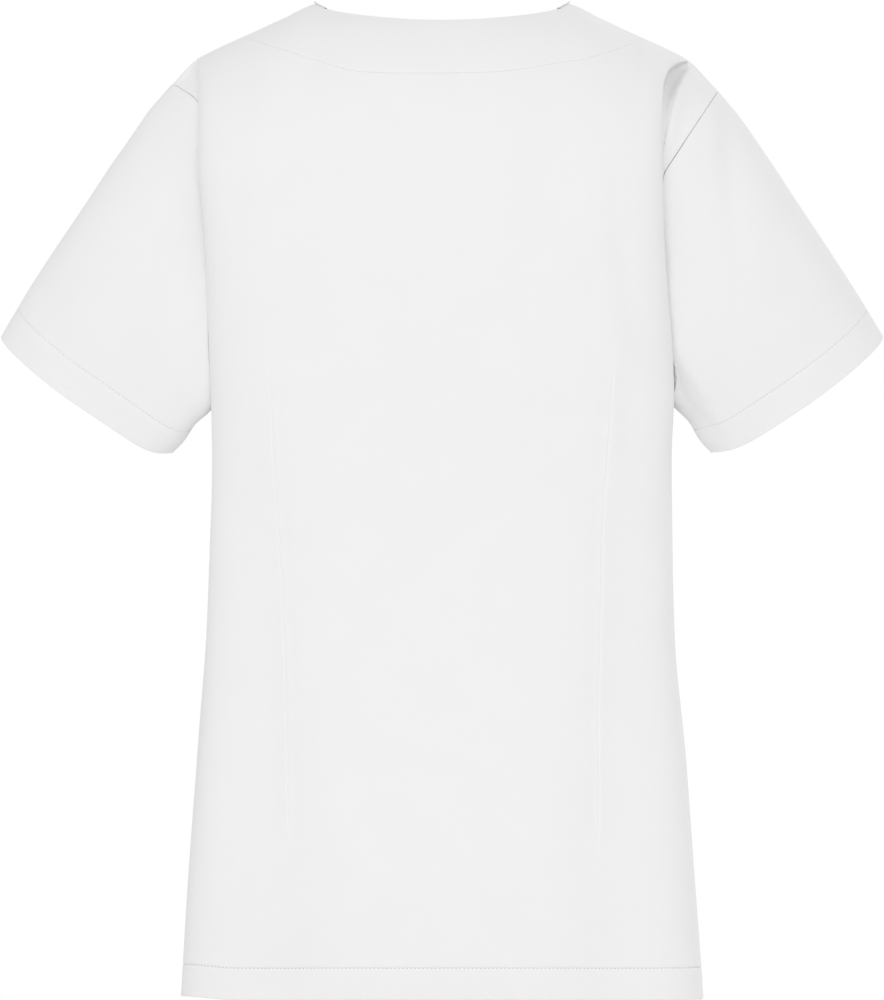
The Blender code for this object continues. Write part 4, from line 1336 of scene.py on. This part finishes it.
def twill(name, base, deep):
    material = new_material(name)
    uv = node(material, "ShaderNodeUVMap", {"uv_map": "UVMap"}).outputs["UV"]
    slanted = node(material, "ShaderNodeMapping", Vector=uv, Rotation=(0, 0, TWILL_SLANT))
    ridges = node(
        material,
        "ShaderNodeTexWave",
        {"wave_type": "BANDS", "bands_direction": "X", "wave_profile": "SIN"},
        Vector=slanted.outputs[0],
        Scale=1 / TWILL_PITCH / WAVES_IN_ONE,
        Distortion=1.2,
        Detail=1.0,
        Detail_Scale=2.0,
    )
    slubs = node(material, "ShaderNodeTexNoise", Vector=uv, Scale=620.0, Detail=3.0, Roughness=0.65)
    shade = node(material, "ShaderNodeTexNoise", Vector=uv, Scale=24.0, Detail=2.0, Roughness=0.5)
    fine = {"_2": ridges.outputs["Fac"], "_3": slubs.outputs["Fac"]}
    relief = node(material, "ShaderNodeMix", {"data_type": "FLOAT"}, Factor=0.45, **fine)
    bump_node = node(material, "ShaderNodeBump", Strength=0.2, Distance=0.08 * MM, Height=relief.outputs[0])
    tone = node(material, "ShaderNodeMapRange", Value=shade.outputs["Fac"], From_Min=0.3, From_Max=0.7)
    colours = {"_6": colour(deep), "_7": colour(base)}
    cloth_colour = node(material, "ShaderNodeMix", {"data_type": "RGBA"}, Factor=tone.outputs[0], **colours)
    return surfaced(
        material,
        Base_Color=cloth_colour.outputs[2],
        Roughness=0.9,
        IOR=1.5,
        Specular_IOR_Level=0.25,
        Sheen_Weight=0.08,
        Sheen_Roughness=0.5,
        Normal=bump_node.outputs[0],
    )


white_twill = twill("white poly-cotton twill", "F6F6F6", "F5F5F5")


# %% [markdown]
# ## Sewing thread
#
# The thread is spun polyester in the cloth's own white. It is a little smoother than the cloth, and
# its fibres make it faintly uneven along each stitch. The shade inside a needle hole is painted: its
# patch gets the same finish in a mid grey.


# %% The thread
def thread(name, base):
    material = new_material(name)
    place = node(material, "ShaderNodeTexCoord").outputs["Object"]
    twist = node(material, "ShaderNodeTexNoise", Vector=place, Scale=2500.0, Detail=1.0)
    low = node(material, "ShaderNodeBump", Strength=0.3, Distance=0.05 * MM, Height=twist.outputs["Fac"])
    return surfaced(material, Base_Color=colour(base), Roughness=0.6, Sheen_Weight=0.1, Normal=low.outputs[0])


white_thread = thread("white polyester sewing thread", "F4F4F4")
# painted shade: a mid grey that stands for the shadow inside the needle holes
needle_hole_painted_shade = thread("painted shade of needle holes in white twill", "8A8A8A")

# %% [markdown]
# ## Joining the frame
#
# Each piece rides on the frame's one body and gets its material: the white twill, or the thread and
# the painted shade of its needle holes. The cloths and facings stand for the plain solids, which are
# hidden. A sheet also says how large it was cut: width, length and flat area, without the hems and
# seams that don't show.

# %% Ride, replace, and print the sizes
CLOTHS = {
    "back_panel": (back_cloth, (0.53, 0.78)),
    "front_panel": (front_cloth, (0.53, 0.80)),
    "sleeve_left": (left_sleeve, (0.48, 0.24)),
    "sleeve_right": (right_sleeve, (0.48, 0.23)),
    "back_neck_facing": (back_facing, (0.31, 0.07)),
    "front_neck_facing": (front_facing, (0.30, 0.16)),
}
THREADS = {
    "back_panel": back_stitches,
    "front_panel": front_stitches,
    "sleeve_left": left_stitches,
    "sleeve_right": right_stitches,
}


def cloth_area(piece):
    build = bmesh.new()
    build.from_mesh(piece.data)
    found = sum(face.calc_area() for face in build.faces)
    build.free()
    return found / 2


for cad_node, (piece, flat) in CLOTHS.items():
    piece.data.materials.clear()
    piece.data.materials.append(white_twill)
    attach(piece, "root")
    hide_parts(cad_node)
    print(f"{piece.name}: {cloth_area(piece):.4f} m2 of cloth, cut from {flat[0]} x {flat[1]} m")
for cad_node, stitches in THREADS.items():
    stitches.data.materials.append(white_thread)
    stitches.data.materials.append(needle_hole_painted_shade)
    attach(stitches, "root")
for cad_node, (piece, flat) in CLOTHS.items():
    round(cloth_area(piece), 4)

# %% [markdown]
# ## Floor, light and camera
#
# The photograph is a studio picture on pure white, lit so softly that only the folds and the turn
# of the body shade the cloth. Most of the light is a world: the studio's white walls, and overhead
# a ceiling that is slightly weaker, so that the tops of the shoulders fall off. A wide, soft lamp
# near the camera makes what faces it a touch brighter than the sides, and its like on the far side
# does the same for the front. The camera itself sees the world as plain white. The floor is a plain
# pale disc, just below the picture. The camera is level with the middle of the top, straight behind
# it, and forty metres away with a long lens, because the photograph is as flat as a drawing.

# %% The floor
PIXEL = 0.74 * MM
PICTURE_HEIGHT = 1000 * PIXEL
FLOOR_HEIGHT = HEM_HEIGHT - 0.07

deselect_all()
bpy.ops.mesh.primitive_cylinder_add(vertices=96, radius=0.75, depth=0.02, location=(0, 0, 0))
floor = bpy.context.object
floor.name = "floor"
floor.data.transform(Matrix.Translation((0, 0, FLOOR_HEIGHT)))
floor_paint = surfaced(new_material("pale studio floor"), Base_Color=colour("F8F8F8"), Roughness=0.8)
floor.data.materials.append(floor_paint)

# %% The studio's light
WALL_LIGHT, CEILING_LIGHT = 0.775, 0.76
BACK_LAMP_POWER, FRONT_LAMP_POWER = 38, 34
LAMP_SIZE = 2.2
LAMP_TARGET = Vector((0, 0, -0.35))  # the middle of the top

world = bpy.data.worlds.new("studio")
bpy.context.scene.world = world
world.use_nodes = True
world.node_tree.nodes.clear()
direction = node(world, "ShaderNodeTexCoord").outputs["Generated"]
height = node(world, "ShaderNodeSeparateXYZ", Vector=direction).outputs["Z"]
overhead = node(
    world,
    "ShaderNodeMapRange",
    {"interpolation_type": "SMOOTHSTEP"},
    Value=height,
    From_Min=0.25,
    From_Max=1.0,
    To_Min=WALL_LIGHT,
    To_Max=CEILING_LIGHT,
)
lighting = node(world, "ShaderNodeBackground", Color=(1, 1, 1, 1), Strength=overhead.outputs[0])
seen = node(world, "ShaderNodeBackground", Color=(1, 1, 1, 1), Strength=1.0)
is_seen = node(world, "ShaderNodeLightPath").outputs["Is Camera Ray"]
both = node(world, "ShaderNodeMixShader", _0=is_seen, _1=lighting.outputs[0], _2=seen.outputs[0])
world_output = node(world, "ShaderNodeOutputWorld")
world.node_tree.links.new(both.outputs[0], world_output.inputs["Surface"])


def soft_lamp(name, power, place):
    lamp = bpy.data.lights.new(name, "AREA")
    lamp.shape, lamp.size, lamp.energy = "DISK", LAMP_SIZE, power
    holder = bpy.data.objects.new(name, lamp)
    holder.location = place
    holder.rotation_euler = (LAMP_TARGET - holder.location).to_track_quat("-Z", "Y").to_euler()
    bpy.context.scene.collection.objects.link(holder)


soft_lamp("soft light behind", BACK_LAMP_POWER, (0.35, 4.4, 0.5))
soft_lamp("soft light in front", FRONT_LAMP_POWER, (-2.4, -3.6, 1.5))

# %% The camera
CAMERA_AWAY = 40.0
ZERO_ROW = 4  # the row of the picture that is level with the top's own zero
CAMERA_HEIGHT = ZERO_ROW * PIXEL - PICTURE_HEIGHT / 2
SENSOR_HEIGHT = 24

camera_data = bpy.data.cameras.new("camera")
camera_data.sensor_fit = "VERTICAL"
camera_data.sensor_height = SENSOR_HEIGHT
camera_data.lens = SENSOR_HEIGHT * CAMERA_AWAY / PICTURE_HEIGHT
camera_data.clip_end = 150
camera = bpy.data.objects.new("camera", camera_data)
camera.location = (0, CAMERA_AWAY, CAMERA_HEIGHT)
camera.rotation_euler = (math.radians(90), 0, math.radians(180))
bpy.context.scene.collection.objects.link(camera)
bpy.context.scene.camera = camera
bpy.context.scene.view_settings.view_transform = "Standard"
